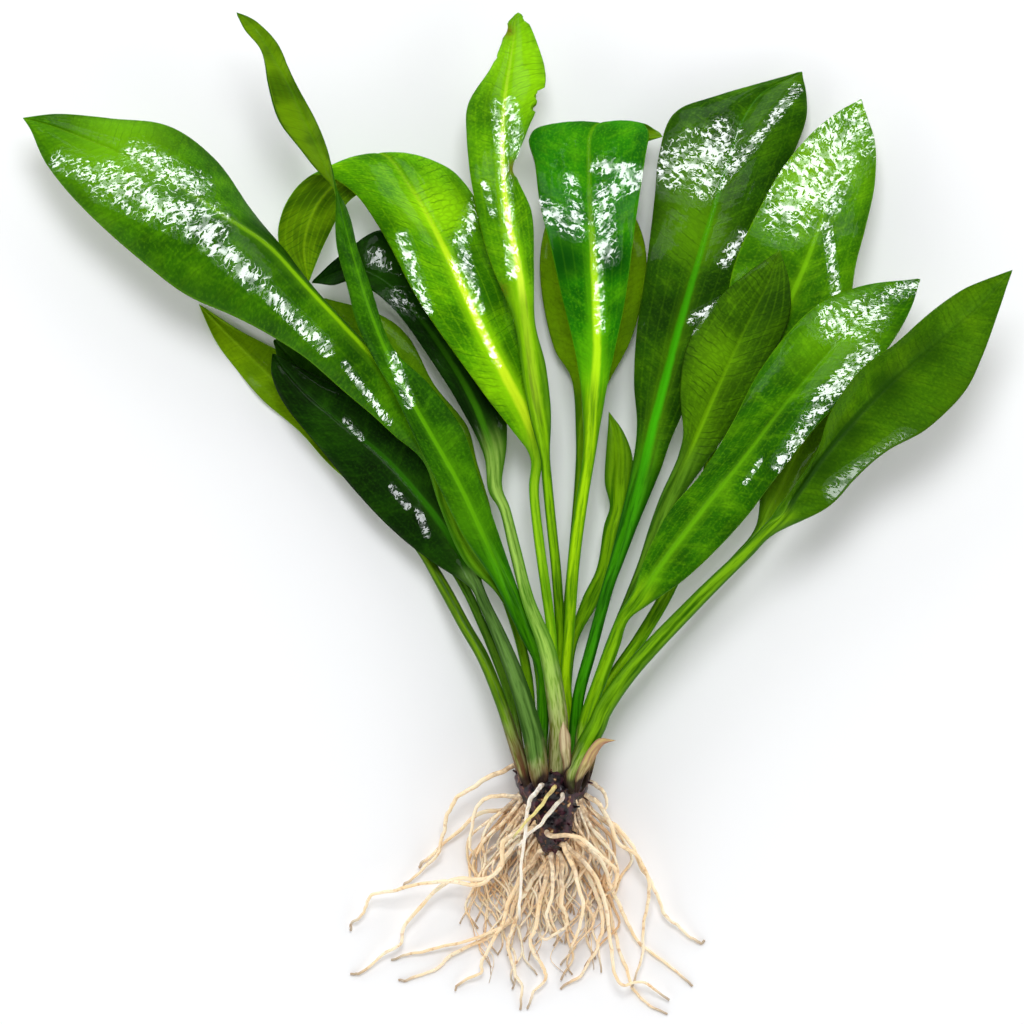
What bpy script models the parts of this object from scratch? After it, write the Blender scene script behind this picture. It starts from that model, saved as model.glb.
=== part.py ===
"""Amazon sword plant with bare roots, lying on its back leaves.

X runs to the plant's right, Y from its roots to its leaf tips, and Z up from the surface that it lies on.
The origin is on that surface, under the middle of the plant.
"""

import math

import bmesh
import bpy
from mathutils import Vector

# One square of the drawing grid, in metres: every place and width below is counted in squares.
SQUARE = 0.0035
# Height of the lowest point of the drawing, in squares: what lies there touches the surface.
REST_HEIGHT = 0.16

# Thickness of a blade above and below its middle surface, at the midrib and halfway to the margin.
BLADE_TOP = 0.06
RIB_DEPTH = 0.22
BLADE_SIDE = 0.10
# The same for a petiole, as a share of its half width.
PETIOLE_TOP = 0.25
PETIOLE_DEPTH = 0.95
PETIOLE_SIDE = 0.55
# Half widths at which a petiole starts to widen into the blade, and has turned fully into it.
PETIOLE_TO = 0.7
BLADE_FROM = 2.2
# How far each half of a blade swells between midrib and margin, as a share of its width.
SWELL = 0.05

# The crown: its axis runs along Y through this X and Z.
CROWN_X = 3.5
CROWN_Z = 3.9
# Rings of the crown: place along Y, half width along X, half width along Z.
CROWN_RINGS = [
    (-26.15, 3.7, 3.3),
    (-27.2, 3.5, 3.4),
    (-28.6, 3.0, 3.0),
    (-30.2, 2.5, 2.5),
    (-31.8, 1.9, 1.9),
    (-33.2, 1.2, 1.2),
]
CROWN_TIP_Y = -34.0
CROWN_SIDES = 18
# Lobes round the crown: how many, how high as a share of its width, and how far each ring turns them.
CROWN_LOBES = 5
CROWN_LUMP = 0.05
CROWN_LOBE_TURN = 1.7

ROOT_BASE_RADIUS = 0.29
ROOT_TIP_RADIUS = 0.12
# Straight lengths of a root between two of its points.
ROOT_STEPS = 2

# Edges that turn more than this stay sharp.
SHARP_ANGLE = math.radians(60)

# Each leaf: the face that it turns up (1 its glossy upper face, -1 its underside), then its petiole from the
# crown up as (x, y, z, half width), then the cross-sections of its blade as
# (left x, left y, left rise, midrib x, midrib y, midrib z, right x, right y, right rise), then its tip.
# A margin's rise is counted from the midrib's height. Left and right are as seen from above.
LEAVES = {
    "leaf_long_left": {
        "face": 1,
        "petiole": [
            (2.1, -26.0, 3.9, 0.65),
            (2.6, -20.0, 4.4, 0.60),
            (2.1, -14.5, 4.5, 0.55),
            (0.6, -11.5, 4.6, 0.50),
            (-1.7, -7.5, 5.5, 0.50),
        ],
        "blade": [
            (-5.4, -4.5, 0.0, -4.7, -3.7, 6.0, -3.9, -3.2, 0.0),
            (-7.7, 0.7, 0.0, -7.0, 1.0, 6.5, -6.1, 1.5, -0.2),
            (-9.3, 5.2, -0.2, -8.3, 5.7, 7.1, -7.1, 6.5, -0.6),
            (-12.2, 7.9, -0.5, -10.5, 10.0, 7.8, -9.3, 11.0, -1.2),
            (-15.5, 10.8, -0.8, -13.2, 14.5, 8.4, -12.5, 14.9, -2.0),
            (-19.5, 14.3, -1.0, -16.7, 18.3, 8.9, -16.3, 18.1, -2.6),
            (-23.7, 17.4, -1.2, -20.9, 22.7, 9.3, -20.3, 22.5, -2.8),
            (-28.5, 19.9, -1.2, -24.9, 27.0, 9.4, -23.2, 26.5, -2.6),
            (-33.7, 22.4, -1.0, -29.2, 29.9, 9.3, -26.5, 30.7, -2.2),
            (-39.2, 26.8, -0.8, -34.2, 33.2, 8.9, -30.2, 35.7, -1.4),
            (-43.7, 31.0, -0.5, -39.2, 35.9, 8.4, -34.9, 39.0, -0.7),
            (-47.0, 35.0, -0.2, -43.7, 37.8, 7.9, -40.9, 39.8, -0.3),
            (-48.5, 38.3, 0.0, -46.9, 39.0, 7.6, -45.7, 40.1, 0.0),
        ],
        "tip": (-49.4, 39.7, 7.4),
    },
    "leaf_back_left": {
        "face": -1,
        "petiole": [
            (0.8, -26.0, 6.1, 0.70),
            (-0.2, -23.0, 6.0, 0.65),
            (-1.5, -19.0, 5.6, 0.60),
            (-3.3, -14.5, 4.9, 0.60),
            (-5.3, -11.0, 4.0, 0.60),
            (-7.2, -7.5, 3.0, 0.60),
            (-9.6, -3.5, 2.0, 0.50),
            (-12.2, -0.5, 1.3, 0.50),
        ],
        "blade": [
            (-14.8, 1.6, 0.0, -14.2, 2.0, 1.0, -13.6, 2.5, 0.0),
            (-18.7, 4.9, 0.0, -17.2, 5.8, 0.8, -15.5, 7.3, 0.1),
            (-21.8, 8.3, 0.0, -20.5, 9.7, 0.7, -18.7, 12.7, 0.2),
            (-25.5, 11.5, 0.0, -23.7, 13.0, 0.6, -21.7, 15.5, 0.2),
            (-28.1, 14.5, 0.0, -26.7, 16.0, 0.5, -24.7, 16.9, 0.1),
            (-30.3, 17.5, 0.0, -29.5, 18.7, 0.4, -28.3, 18.8, 0.0),
        ],
        "tip": (-32.0, 21.2, 0.2),
    },
    "leaf_dark_left": {
        "face": 1,
        "petiole": [
            (2.2, -26.0, 7.2, 0.95),
            (1.7, -22.5, 7.6, 1.05),
            (0.8, -19.0, 7.6, 0.95),
            (-0.3, -15.7, 7.3, 0.85),
            (-1.8, -12.0, 6.6, 0.70),
            (-3.3, -8.8, 5.6, 0.60),
        ],
        "blade": [
            (-4.9, -7.1, 0.0, -4.3, -6.5, 5.0, -3.7, -5.9, 0.0),
            (-8.5, -4.7, -0.2, -6.1, -3.1, 4.5, -4.5, -1.3, 0.0),
            (-12.3, -1.7, -0.4, -9.2, 1.2, 4.4, -6.9, 3.7, 0.2),
            (-16.3, 2.5, -0.4, -13.0, 5.5, 4.1, -10.5, 8.1, 0.2),
            (-20.3, 7.3, -0.4, -17.0, 8.8, 3.9, -14.5, 11.5, 0.2),
            (-23.4, 11.2, -0.3, -20.7, 11.9, 3.7, -18.3, 13.1, 0.2),
            (-24.6, 14.0, -0.1, -23.1, 14.4, 3.5, -21.5, 14.7, 0.1),
        ],
        "tip": (-24.5, 16.2, 3.4),
    },
    "leaf_narrow_left": {
        "face": 1,
        "petiole": [
            (0.5, -26.0, 4.0, 0.60),
            (-0.1, -21.5, 4.1, 0.50),
            (-0.8, -17.9, 4.1, 0.50),
            (-2.1, -14.2, 4.0, 0.50),
            (-3.7, -10.5, 3.7, 0.45),
            (-5.1, -7.5, 3.4, 0.45),
            (-6.9, -4.8, 3.1, 0.40),
        ],
        "blade": [
            (-9.8, -2.8, 0.0, -9.2, -2.3, 2.9, -8.6, -1.8, 0.0),
            (-14.1, 0.3, 0.0, -12.0, 1.5, 2.7, -10.1, 3.3, 0.0),
            (-17.9, 5.1, 0.0, -15.5, 6.3, 2.5, -12.7, 8.5, 0.1),
            (-21.2, 9.5, 0.0, -18.5, 10.3, 2.4, -15.5, 12.7, 0.2),
            (-23.1, 12.9, 0.0, -21.2, 13.8, 2.3, -18.2, 15.8, 0.2),
            (-24.0, 15.4, 0.0, -23.0, 16.0, 2.2, -21.4, 17.3, 0.1),
        ],
        "tip": (-24.4, 17.6, 2.2),
    },
    "leaf_twisted": {
        "face": 1,
        "petiole": [
            (2.0, -26.0, 5.0, 0.70),
            (2.5, -22.0, 5.3, 0.60),
            (2.6, -18.0, 5.5, 0.50),
        ],
        "blade": [
            (1.9, -15.3, 0.0, 2.4, -15.0, 5.6, 2.9, -14.7, 0.0),
            (0.2, -11.9, 0.0, 1.0, -11.5, 5.9, 1.6, -11.3, 0.0),
            (-2.2, -6.9, 0.1, -1.2, -6.5, 6.9, -0.4, -6.0, 0.1),
            (-5.4, -2.0, 0.2, -3.6, -1.5, 7.9, -2.1, -1.1, 0.1),
            (-7.9, 3.0, 0.3, -5.9, 3.3, 8.9, -3.9, 4.1, 0.1),
            (-10.2, 7.7, 0.2, -8.3, 7.5, 9.6, -5.5, 8.7, 0.0),
            (-12.2, 11.9, 0.0, -10.7, 11.7, 10.1, -8.7, 13.0, -0.3),
            (-14.4, 15.7, -0.4, -12.9, 16.0, 10.3, -12.1, 16.3, -0.9),
            (-16.4, 20.3, 0.0, -14.7, 20.5, 10.4, -14.0, 20.7, -1.4),
            (-17.5, 25.3, 0.9, -16.2, 25.3, 10.5, -15.5, 25.8, -1.9),
            (-18.2, 29.3, 1.9, -17.3, 29.3, 10.7, -16.7, 29.4, -2.0),
            (-18.1, 32.6, 2.3, -18.1, 32.5, 11.0, -18.1, 32.4, -1.8),
            (-18.4, 35.0, 1.3, -19.2, 35.3, 11.4, -20.9, 35.7, -0.9),
            (-20.0, 39.1, 0.8, -20.9, 39.0, 11.8, -23.6, 38.9, -0.6),
            (-22.1, 43.3, 0.6, -22.7, 43.0, 12.2, -24.7, 42.7, -0.5),
            (-23.9, 46.9, 0.4, -24.7, 46.5, 12.5, -25.5, 46.1, -0.3),
            (-25.9, 49.1, 0.1, -26.5, 48.7, 12.6, -27.1, 48.3, -0.1),
        ],
        "tip": (-27.9, 50.0, 12.7),
    },
    "leaf_yellow_back": {
        "face": 1,
        "petiole": [
            (1.3, -26.0, 2.8, 0.60),
            (1.3, -18.5, 2.6, 0.50),
            (0.4, -13.0, 2.3, 0.50),
            (-1.4, -7.5, 2.0, 0.50),
        ],
        "blade": [
            (-3.6, -3.6, 0.0, -2.9, -3.3, 1.8, -2.3, -3.0, 0.0),
            (-5.5, -0.3, 0.0, -4.0, 0.3, 1.6, -2.6, 0.5, 0.0),
            (-8.5, 3.1, 0.1, -6.2, 4.5, 1.4, -4.0, 5.3, 0.1),
            (-11.7, 6.9, 0.1, -8.7, 8.7, 1.2, -5.1, 9.1, 0.2),
            (-15.1, 10.9, 0.1, -11.5, 12.8, 1.0, -8.3, 13.1, 0.3),
            (-17.9, 14.7, 0.1, -14.2, 16.5, 0.8, -10.9, 17.9, 0.2),
            (-19.5, 17.9, 0.0, -16.7, 19.3, 0.6, -14.1, 20.3, 0.1),
        ],
        "tip": (-19.5, 21.8, 0.2),
    },
    "leaf_arched": {
        "face": 1,
        "petiole": [
            (3.9, -26.0, 5.0, 0.70),
            (3.8, -20.0, 5.1, 0.55),
            (3.5, -12.5, 5.3, 0.50),
            (2.9, -7.5, 5.5, 0.50),
            (2.2, -2.5, 5.6, 0.50),
            (1.7, 2.5, 5.8, 0.50),
        ],
        "blade": [
            (1.3, 5.8, 0.0, 2.0, 6.0, 6.0, 2.7, 6.2, 0.0),
            (-0.7, 8.7, 0.0, 1.1, 9.5, 6.8, 2.4, 10.3, -0.6),
            (-3.9, 12.9, -0.1, -1.2, 14.0, 7.6, 1.3, 14.9, -1.0),
            (-7.5, 17.9, -0.2, -3.5, 18.5, 8.2, 0.0, 18.5, -1.4),
            (-10.6, 22.7, -0.3, -5.7, 23.3, 8.5, -1.2, 22.5, -1.6),
            (-13.6, 28.5, -0.3, -8.0, 28.1, 8.3, -2.9, 26.3, -1.7),
            (-16.4, 32.2, -0.4, -10.5, 32.5, 7.8, -3.8, 30.9, -1.7),
            (-19.5, 34.1, -0.3, -13.5, 36.1, 7.0, -7.2, 35.0, -0.9),
            (-21.9, 32.9, 0.0, -16.9, 34.2, 5.9, -11.7, 33.9, 0.0),
            (-23.6, 30.1, 0.0, -19.9, 31.2, 5.3, -16.5, 31.7, 0.0),
            (-23.7, 26.7, 0.0, -21.3, 27.2, 4.9, -19.1, 27.5, 0.0),
        ],
        "tip": (-20.9, 23.2, 4.6),
    },
    "leaf_shaded": {
        "face": 1,
        "petiole": [
            (4.0, -26.0, 6.1, 0.90),
            (4.2, -22.0, 6.7, 0.95),
            (3.9, -18.5, 7.0, 0.95),
            (3.0, -13.5, 7.2, 0.85),
            (1.1, -8.5, 7.0, 0.65),
            (-0.2, -3.5, 6.2, 0.60),
            (-1.2, 0.5, 5.2, 0.55),
        ],
        "blade": [
            (-2.9, 2.5, 0.0, -2.2, 2.8, 4.8, -1.5, 3.1, 0.0),
            (-3.4, 6.2, 0.0, -2.6, 6.5, 4.4, -1.0, 7.5, 0.0),
            (-5.8, 11.0, 0.0, -4.4, 11.3, 4.1, -1.4, 12.7, 0.0),
            (-8.6, 15.5, 0.0, -7.0, 15.8, 3.9, -3.5, 18.0, 0.1),
            (-11.6, 19.7, 0.1, -10.0, 20.0, 3.8, -6.5, 22.7, 0.1),
            (-14.1, 22.2, 0.3, -13.1, 23.3, 3.8, -9.9, 26.8, 0.1),
            (-16.7, 23.4, 0.7, -16.2, 24.7, 3.7, -13.7, 28.6, 0.0),
            (-18.5, 23.0, 0.6, -18.4, 24.2, 3.5, -17.7, 26.0, 0.0),
        ],
        "tip": (-20.6, 23.3, 3.3),
    },
    "leaf_torn": {
        "face": 1,
        "petiole": [
            (3.7, -26.0, 3.9, 0.70),
            (4.2, -21.0, 3.7, 0.55),
            (4.4, -13.5, 4.5, 0.50),
            (4.0, -6.5, 5.3, 0.50),
            (3.45, -1.0, 5.9, 0.50),
            (3.0, 3.5, 6.6, 0.50),
        ],
        "blade": [
            (2.3, 5.8, 0.0, 2.8, 6.0, 7.1, 3.3, 6.2, 0.0),
            (1.3, 9.7, 0.0, 2.1, 10.0, 7.8, 3.4, 10.5, -0.3),
            (0.5, 14.3, 0.0, 1.4, 14.5, 8.5, 2.9, 14.9, -0.4),
            (-0.3, 19.3, 0.0, 0.9, 19.5, 9.0, 1.8, 19.3, 0.0),
            (-2.5, 24.8, 0.2, 0.2, 24.7, 9.2, 1.7, 24.7, 0.2),
            (-3.8, 29.3, 0.3, -0.9, 29.7, 9.0, 1.5, 30.1, 0.4),
            (-4.7, 33.7, 0.3, -1.3, 34.0, 8.5, -0.2, 34.4, 1.2),
            (-5.1, 38.1, 0.2, -1.4, 38.2, 7.8, 1.0, 38.5, 0.5),
            (-4.9, 41.3, 0.2, -1.2, 41.7, 7.1, 2.6, 42.2, 0.3),
            (-2.7, 44.8, 0.1, -0.7, 45.3, 6.4, 2.8, 44.7, 0.2),
            (-1.6, 47.3, 0.0, -0.3, 47.9, 5.9, 1.8, 47.9, 0.0),
            (-1.1, 49.1, 0.0, -0.2, 49.5, 5.7, 0.9, 49.7, 0.0),
        ],
        "tip": (0.1, 50.3, 5.6),
    },
    "leaf_centre": {
        "face": 1,
        "petiole": [
            (5.3, -26.0, 3.9, 0.70),
            (5.2, -21.0, 4.6, 0.60),
            (4.9, -16.5, 5.1, 0.55),
            (5.3, -10.5, 5.6, 0.55),
            (5.7, -4.5, 5.9, 0.60),
            (6.5, 1.5, 6.2, 0.60),
        ],
        "blade": [
            (6.6, 6.3, 0.0, 7.2, 6.3, 6.4, 7.9, 6.3, 0.0),
            (6.5, 11.3, 0.3, 7.6, 11.0, 7.0, 8.7, 11.2, 0.3),
            (5.8, 16.3, 0.6, 8.0, 16.0, 7.6, 9.8, 16.7, 0.5),
            (4.5, 21.7, 0.8, 7.9, 21.3, 8.0, 10.8, 21.5, 0.7),
            (3.4, 26.5, 0.9, 7.6, 26.3, 8.0, 11.5, 26.7, 0.8),
            (2.3, 31.0, 0.9, 7.3, 31.0, 7.5, 12.1, 31.0, 0.8),
            (1.8, 34.9, 0.6, 7.2, 35.0, 6.7, 12.8, 35.5, 0.5),
            (1.2, 37.7, 0.2, 7.3, 37.9, 6.0, 13.2, 38.1, 0.1),
            (2.8, 39.0, -0.2, 8.3, 39.2, 5.4, 12.8, 39.2, 0.0),
            (6.8, 37.3, 0.0, 10.5, 38.3, 4.9, 13.8, 38.6, 0.0),
            (10.8, 36.9, 0.0, 12.8, 37.8, 4.7, 14.3, 38.3, 0.0),
        ],
        "tip": (14.6, 37.9, 4.6),
    },
    "leaf_olive_back": {
        "face": 1,
        "petiole": [
            (3.4, -26.0, 1.7, 0.65),
            (4.7, -13.5, 1.5, 0.50),
            (5.6, -4.5, 1.4, 0.50),
            (6.3, 3.5, 1.5, 0.50),
        ],
        "blade": [
            (5.9, 8.3, 0.0, 6.6, 8.3, 1.7, 7.3, 8.3, 0.0),
            (5.5, 13.5, 0.1, 7.5, 12.7, 1.8, 8.9, 12.7, 0.1),
            (3.7, 16.8, 0.2, 7.7, 17.3, 1.8, 11.4, 17.5, 0.2),
            (2.6, 21.5, 0.3, 7.7, 21.7, 1.7, 12.7, 22.3, 0.3),
            (2.3, 25.7, 0.3, 7.6, 25.9, 1.5, 13.0, 25.9, 0.3),
            (3.0, 29.5, 0.2, 7.5, 29.9, 1.1, 12.2, 29.3, 0.2),
            (4.6, 32.5, 0.1, 7.3, 32.9, 0.7, 10.1, 32.5, 0.1),
        ],
        "tip": (7.1, 35.5, 0.2),
    },
    "leaf_young": {
        "face": 1,
        "petiole": [
            (4.6, -26.0, 2.8, 0.60),
            (4.9, -18.5, 3.0, 0.50),
            (5.6, -12.8, 3.2, 0.45),
        ],
        "blade": [
            (6.5, -8.5, 0.0, 7.2, -8.8, 3.3, 8.0, -9.1, 0.0),
            (8.0, -5.3, 0.1, 8.6, -5.6, 3.3, 9.3, -5.9, 0.1),
            (8.7, -1.2, 0.1, 9.4, -1.5, 3.3, 10.2, -1.9, 0.2),
            (9.3, 0.9, 0.1, 10.0, 0.6, 3.2, 10.7, 0.2, 0.1),
            (8.8, 3.2, 0.1, 10.1, 3.2, 3.2, 11.4, 3.0, 0.2),
            (8.9, 6.0, 0.1, 10.2, 6.0, 3.1, 11.6, 5.7, 0.1),
            (9.1, 8.5, 0.0, 9.9, 8.5, 3.0, 10.7, 8.3, 0.0),
        ],
        "tip": (9.2, 10.4, 2.9),
    },
    "leaf_broad_right": {
        "face": 1,
        "petiole": [
            (5.6, -26.0, 5.0, 0.70),
            (5.9, -20.5, 5.7, 0.60),
            (6.3, -17.5, 5.8, 0.60),
            (7.4, -13.5, 5.9, 0.60),
            (9.0, -7.5, 5.9, 0.60),
            (10.0, -4.5, 5.8, 0.70),
        ],
        "blade": [
            (10.3, -0.5, 0.0, 11.2, -0.5, 5.6, 12.3, -0.5, 0.0),
            (11.5, 4.8, 0.0, 12.5, 4.5, 5.5, 14.3, 4.3, 0.0),
            (12.0, 9.0, 0.0, 13.5, 8.5, 5.4, 15.5, 7.7, 0.0),
            (11.7, 13.5, 0.1, 14.7, 13.0, 5.4, 17.5, 12.1, 0.0),
            (12.0, 18.7, 0.2, 16.0, 18.0, 5.3, 19.8, 17.0, 0.1),
            (12.7, 23.2, 0.2, 17.3, 22.5, 5.2, 21.8, 21.5, 0.1),
            (13.3, 27.7, 0.2, 18.6, 27.0, 4.9, 23.6, 26.0, 0.1),
            (13.8, 32.0, 0.2, 19.9, 31.3, 4.4, 25.5, 30.7, 0.2),
            (14.2, 36.0, 0.2, 21.2, 35.5, 3.8, 27.2, 35.0, 0.2),
            (15.7, 40.2, 0.1, 22.7, 39.7, 3.2, 28.9, 39.3, 0.1),
            (20.1, 42.1, 0.0, 24.8, 42.5, 2.7, 29.1, 41.9, 0.0),
        ],
        "tip": (28.6, 44.5, 2.4),
    },
    "leaf_pointed_right": {
        "face": 1,
        "petiole": [
            (5.4, -26.0, 1.7, 0.65),
            (8.3, -18.5, 2.2, 0.60),
            (12.4, -12.3, 3.0, 0.65),
            (15.2, -7.5, 3.6, 0.65),
            (18.3, -0.5, 4.3, 0.55),
        ],
        "blade": [
            (19.2, 8.4, 0.0, 19.8, 8.0, 4.8, 20.4, 7.6, 0.0),
            (20.7, 14.7, 0.1, 22.8, 13.0, 5.5, 25.1, 11.3, 0.1),
            (21.1, 20.0, 0.2, 25.3, 17.5, 6.1, 30.9, 16.0, 0.1),
            (21.3, 23.4, 0.2, 27.3, 21.5, 6.5, 33.1, 20.7, 0.1),
            (22.2, 26.4, 0.2, 29.1, 25.7, 6.5, 33.9, 25.1, 0.1),
            (23.9, 30.0, 0.2, 30.5, 29.7, 6.1, 34.9, 28.9, 0.1),
            (26.4, 34.5, 0.1, 31.6, 33.5, 5.4, 35.8, 33.0, 0.1),
            (29.4, 38.1, 0.1, 32.6, 37.0, 4.7, 35.9, 36.9, 0.1),
            (32.3, 40.5, 0.0, 33.7, 39.8, 4.2, 35.2, 39.7, 0.0),
        ],
        "tip": (34.5, 41.7, 3.9),
    },
    "leaf_dark_right": {
        "face": 1,
        "petiole": [
            (6.3, -26.0, 2.8, 0.65),
            (7.6, -18.5, 3.2, 0.50),
            (9.2, -13.5, 3.6, 0.50),
            (11.2, -8.5, 4.4, 0.50),
            (12.6, -4.9, 5.0, 0.50),
        ],
        "blade": [
            (13.2, -1.3, 0.0, 13.9, -1.5, 5.6, 14.6, -1.8, 0.0),
            (14.3, 1.8, 0.0, 15.1, 1.5, 6.0, 16.2, 1.3, 0.0),
            (16.5, 7.2, 0.1, 17.3, 6.5, 6.5, 19.1, 5.5, 0.0),
            (16.3, 12.3, 0.2, 19.5, 11.5, 6.9, 22.7, 10.7, 0.0),
            (17.0, 17.0, 0.2, 21.8, 16.5, 7.2, 25.5, 15.8, 0.1),
            (19.5, 21.0, 0.1, 23.5, 20.0, 7.4, 27.2, 19.7, 0.1),
            (23.0, 24.2, 0.0, 25.1, 23.2, 7.5, 27.2, 23.3, 0.0),
        ],
        "tip": (26.3, 26.5, 7.6),
    },
    "leaf_glossy_right": {
        "face": 1,
        "petiole": [
            (6.6, -26.0, 6.1, 0.70),
            (6.6, -21.5, 6.2, 0.65),
            (8.3, -16.5, 6.5, 0.70),
            (9.6, -13.0, 6.8, 0.70),
            (10.6, -10.3, 7.1, 0.60),
        ],
        "blade": [
            (11.6, -7.6, 0.0, 12.0, -8.5, 7.4, 13.1, -9.0, 0.0),
            (12.6, -4.7, 0.1, 14.5, -4.7, 8.0, 16.9, -6.3, 0.0),
            (15.0, 0.1, 0.2, 18.3, 0.3, 8.5, 21.8, -1.5, 0.0),
            (18.3, 4.1, 0.3, 22.3, 5.3, 8.9, 25.1, 2.7, 0.0),
            (21.2, 8.7, 0.3, 25.8, 9.9, 9.1, 29.1, 7.9, 0.0),
            (24.0, 14.1, 0.3, 28.9, 13.7, 8.9, 32.9, 12.1, 0.0),
            (27.5, 18.7, 0.3, 31.8, 17.0, 8.4, 35.9, 15.2, 0.0),
            (30.8, 21.5, 0.2, 34.5, 19.7, 7.8, 37.9, 17.9, 0.0),
            (34.9, 23.0, 0.0, 37.3, 21.8, 7.3, 39.4, 20.7, 0.0),
        ],
        "tip": (40.3, 23.6, 7.0),
    },
    "leaf_hidden_right": {
        "face": 1,
        "petiole": [
            (6.9, -26.0, 3.9, 0.60),
            (8.9, -18.8, 4.6, 0.55),
            (12.2, -14.4, 4.8, 0.50),
            (18.0, -8.4, 4.6, 0.50),
            (22.0, -4.4, 4.2, 0.50),
        ],
        "blade": [
            (23.9, -1.2, 0.0, 24.4, -1.6, 3.6, 24.9, -2.0, 0.0),
            (24.5, 2.6, 0.1, 26.2, 1.9, 3.0, 27.4, 1.0, 0.1),
            (25.6, 6.9, 0.2, 28.1, 5.8, 2.2, 29.8, 4.9, 0.2),
            (27.3, 10.7, 0.2, 30.3, 10.0, 1.4, 32.9, 9.1, 0.2),
            (30.3, 14.1, 0.1, 32.5, 13.3, 0.7, 34.3, 12.5, 0.1),
        ],
        "tip": (34.9, 16.5, 0.2),
    },
    "leaf_far_right": {
        "face": -1,
        "petiole": [
            (5.6, -26.0, 7.2, 0.90),
            (6.8, -23.3, 7.3, 1.00),
            (8.0, -21.0, 7.4, 0.95),
            (8.9, -19.0, 7.6, 0.90),
            (12.0, -14.8, 8.1, 0.85),
            (18.3, -8.2, 8.8, 0.75),
            (22.8, -3.8, 9.5, 0.65),
        ],
        "blade": [
            (24.8, -0.8, 0.0, 25.2, -1.3, 10.0, 25.7, -1.9, 0.0),
            (27.3, 2.2, 1.0, 27.7, 2.0, 10.4, 30.6, 0.5, -0.2),
            (29.9, 6.3, 1.5, 30.3, 5.8, 10.8, 33.6, 3.5, -0.3),
            (31.2, 10.3, 1.2, 33.1, 9.1, 11.2, 37.1, 6.5, -0.3),
            (34.0, 14.3, 0.8, 36.5, 12.7, 11.5, 41.0, 8.7, -0.2),
            (37.4, 16.9, 0.4, 40.1, 15.8, 11.8, 44.5, 12.2, -0.1),
            (40.8, 19.9, 0.2, 43.3, 18.5, 12.0, 46.4, 16.0, 0.0),
            (44.1, 22.3, 0.0, 46.1, 21.0, 12.1, 47.8, 19.9, 0.0),
            (46.5, 23.4, 0.0, 47.8, 22.8, 12.2, 48.6, 22.3, 0.0),
        ],
        "tip": (49.3, 24.4, 12.2),
    },
    "sheath_front": {
        "face": 1,
        "petiole": [
            (5.0, -25.0, 7.9, 0.40),
        ],
        "blade": [
            (4.3, -23.6, 0.0, 4.9, -23.6, 7.9, 5.4, -23.6, 0.0),
            (4.2, -22.0, 0.0, 4.8, -22.0, 7.9, 5.3, -22.0, 0.0),
        ],
        "tip": (4.6, -20.6, 7.8),
    },
    "sheath_right": {
        "face": 1,
        "petiole": [
            (6.3, -26.0, 8.8, 0.45),
        ],
        "blade": [
            (6.3, -24.9, 0.0, 6.8, -25.1, 8.8, 7.3, -25.3, 0.0),
            (7.1, -23.4, 0.0, 7.5, -23.6, 8.7, 8.0, -23.9, 0.0),
            (8.2, -22.3, 0.0, 8.5, -22.6, 8.5, 8.7, -22.9, 0.0),
        ],
        "tip": (9.9, -22.5, 8.1),
    },
}

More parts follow.
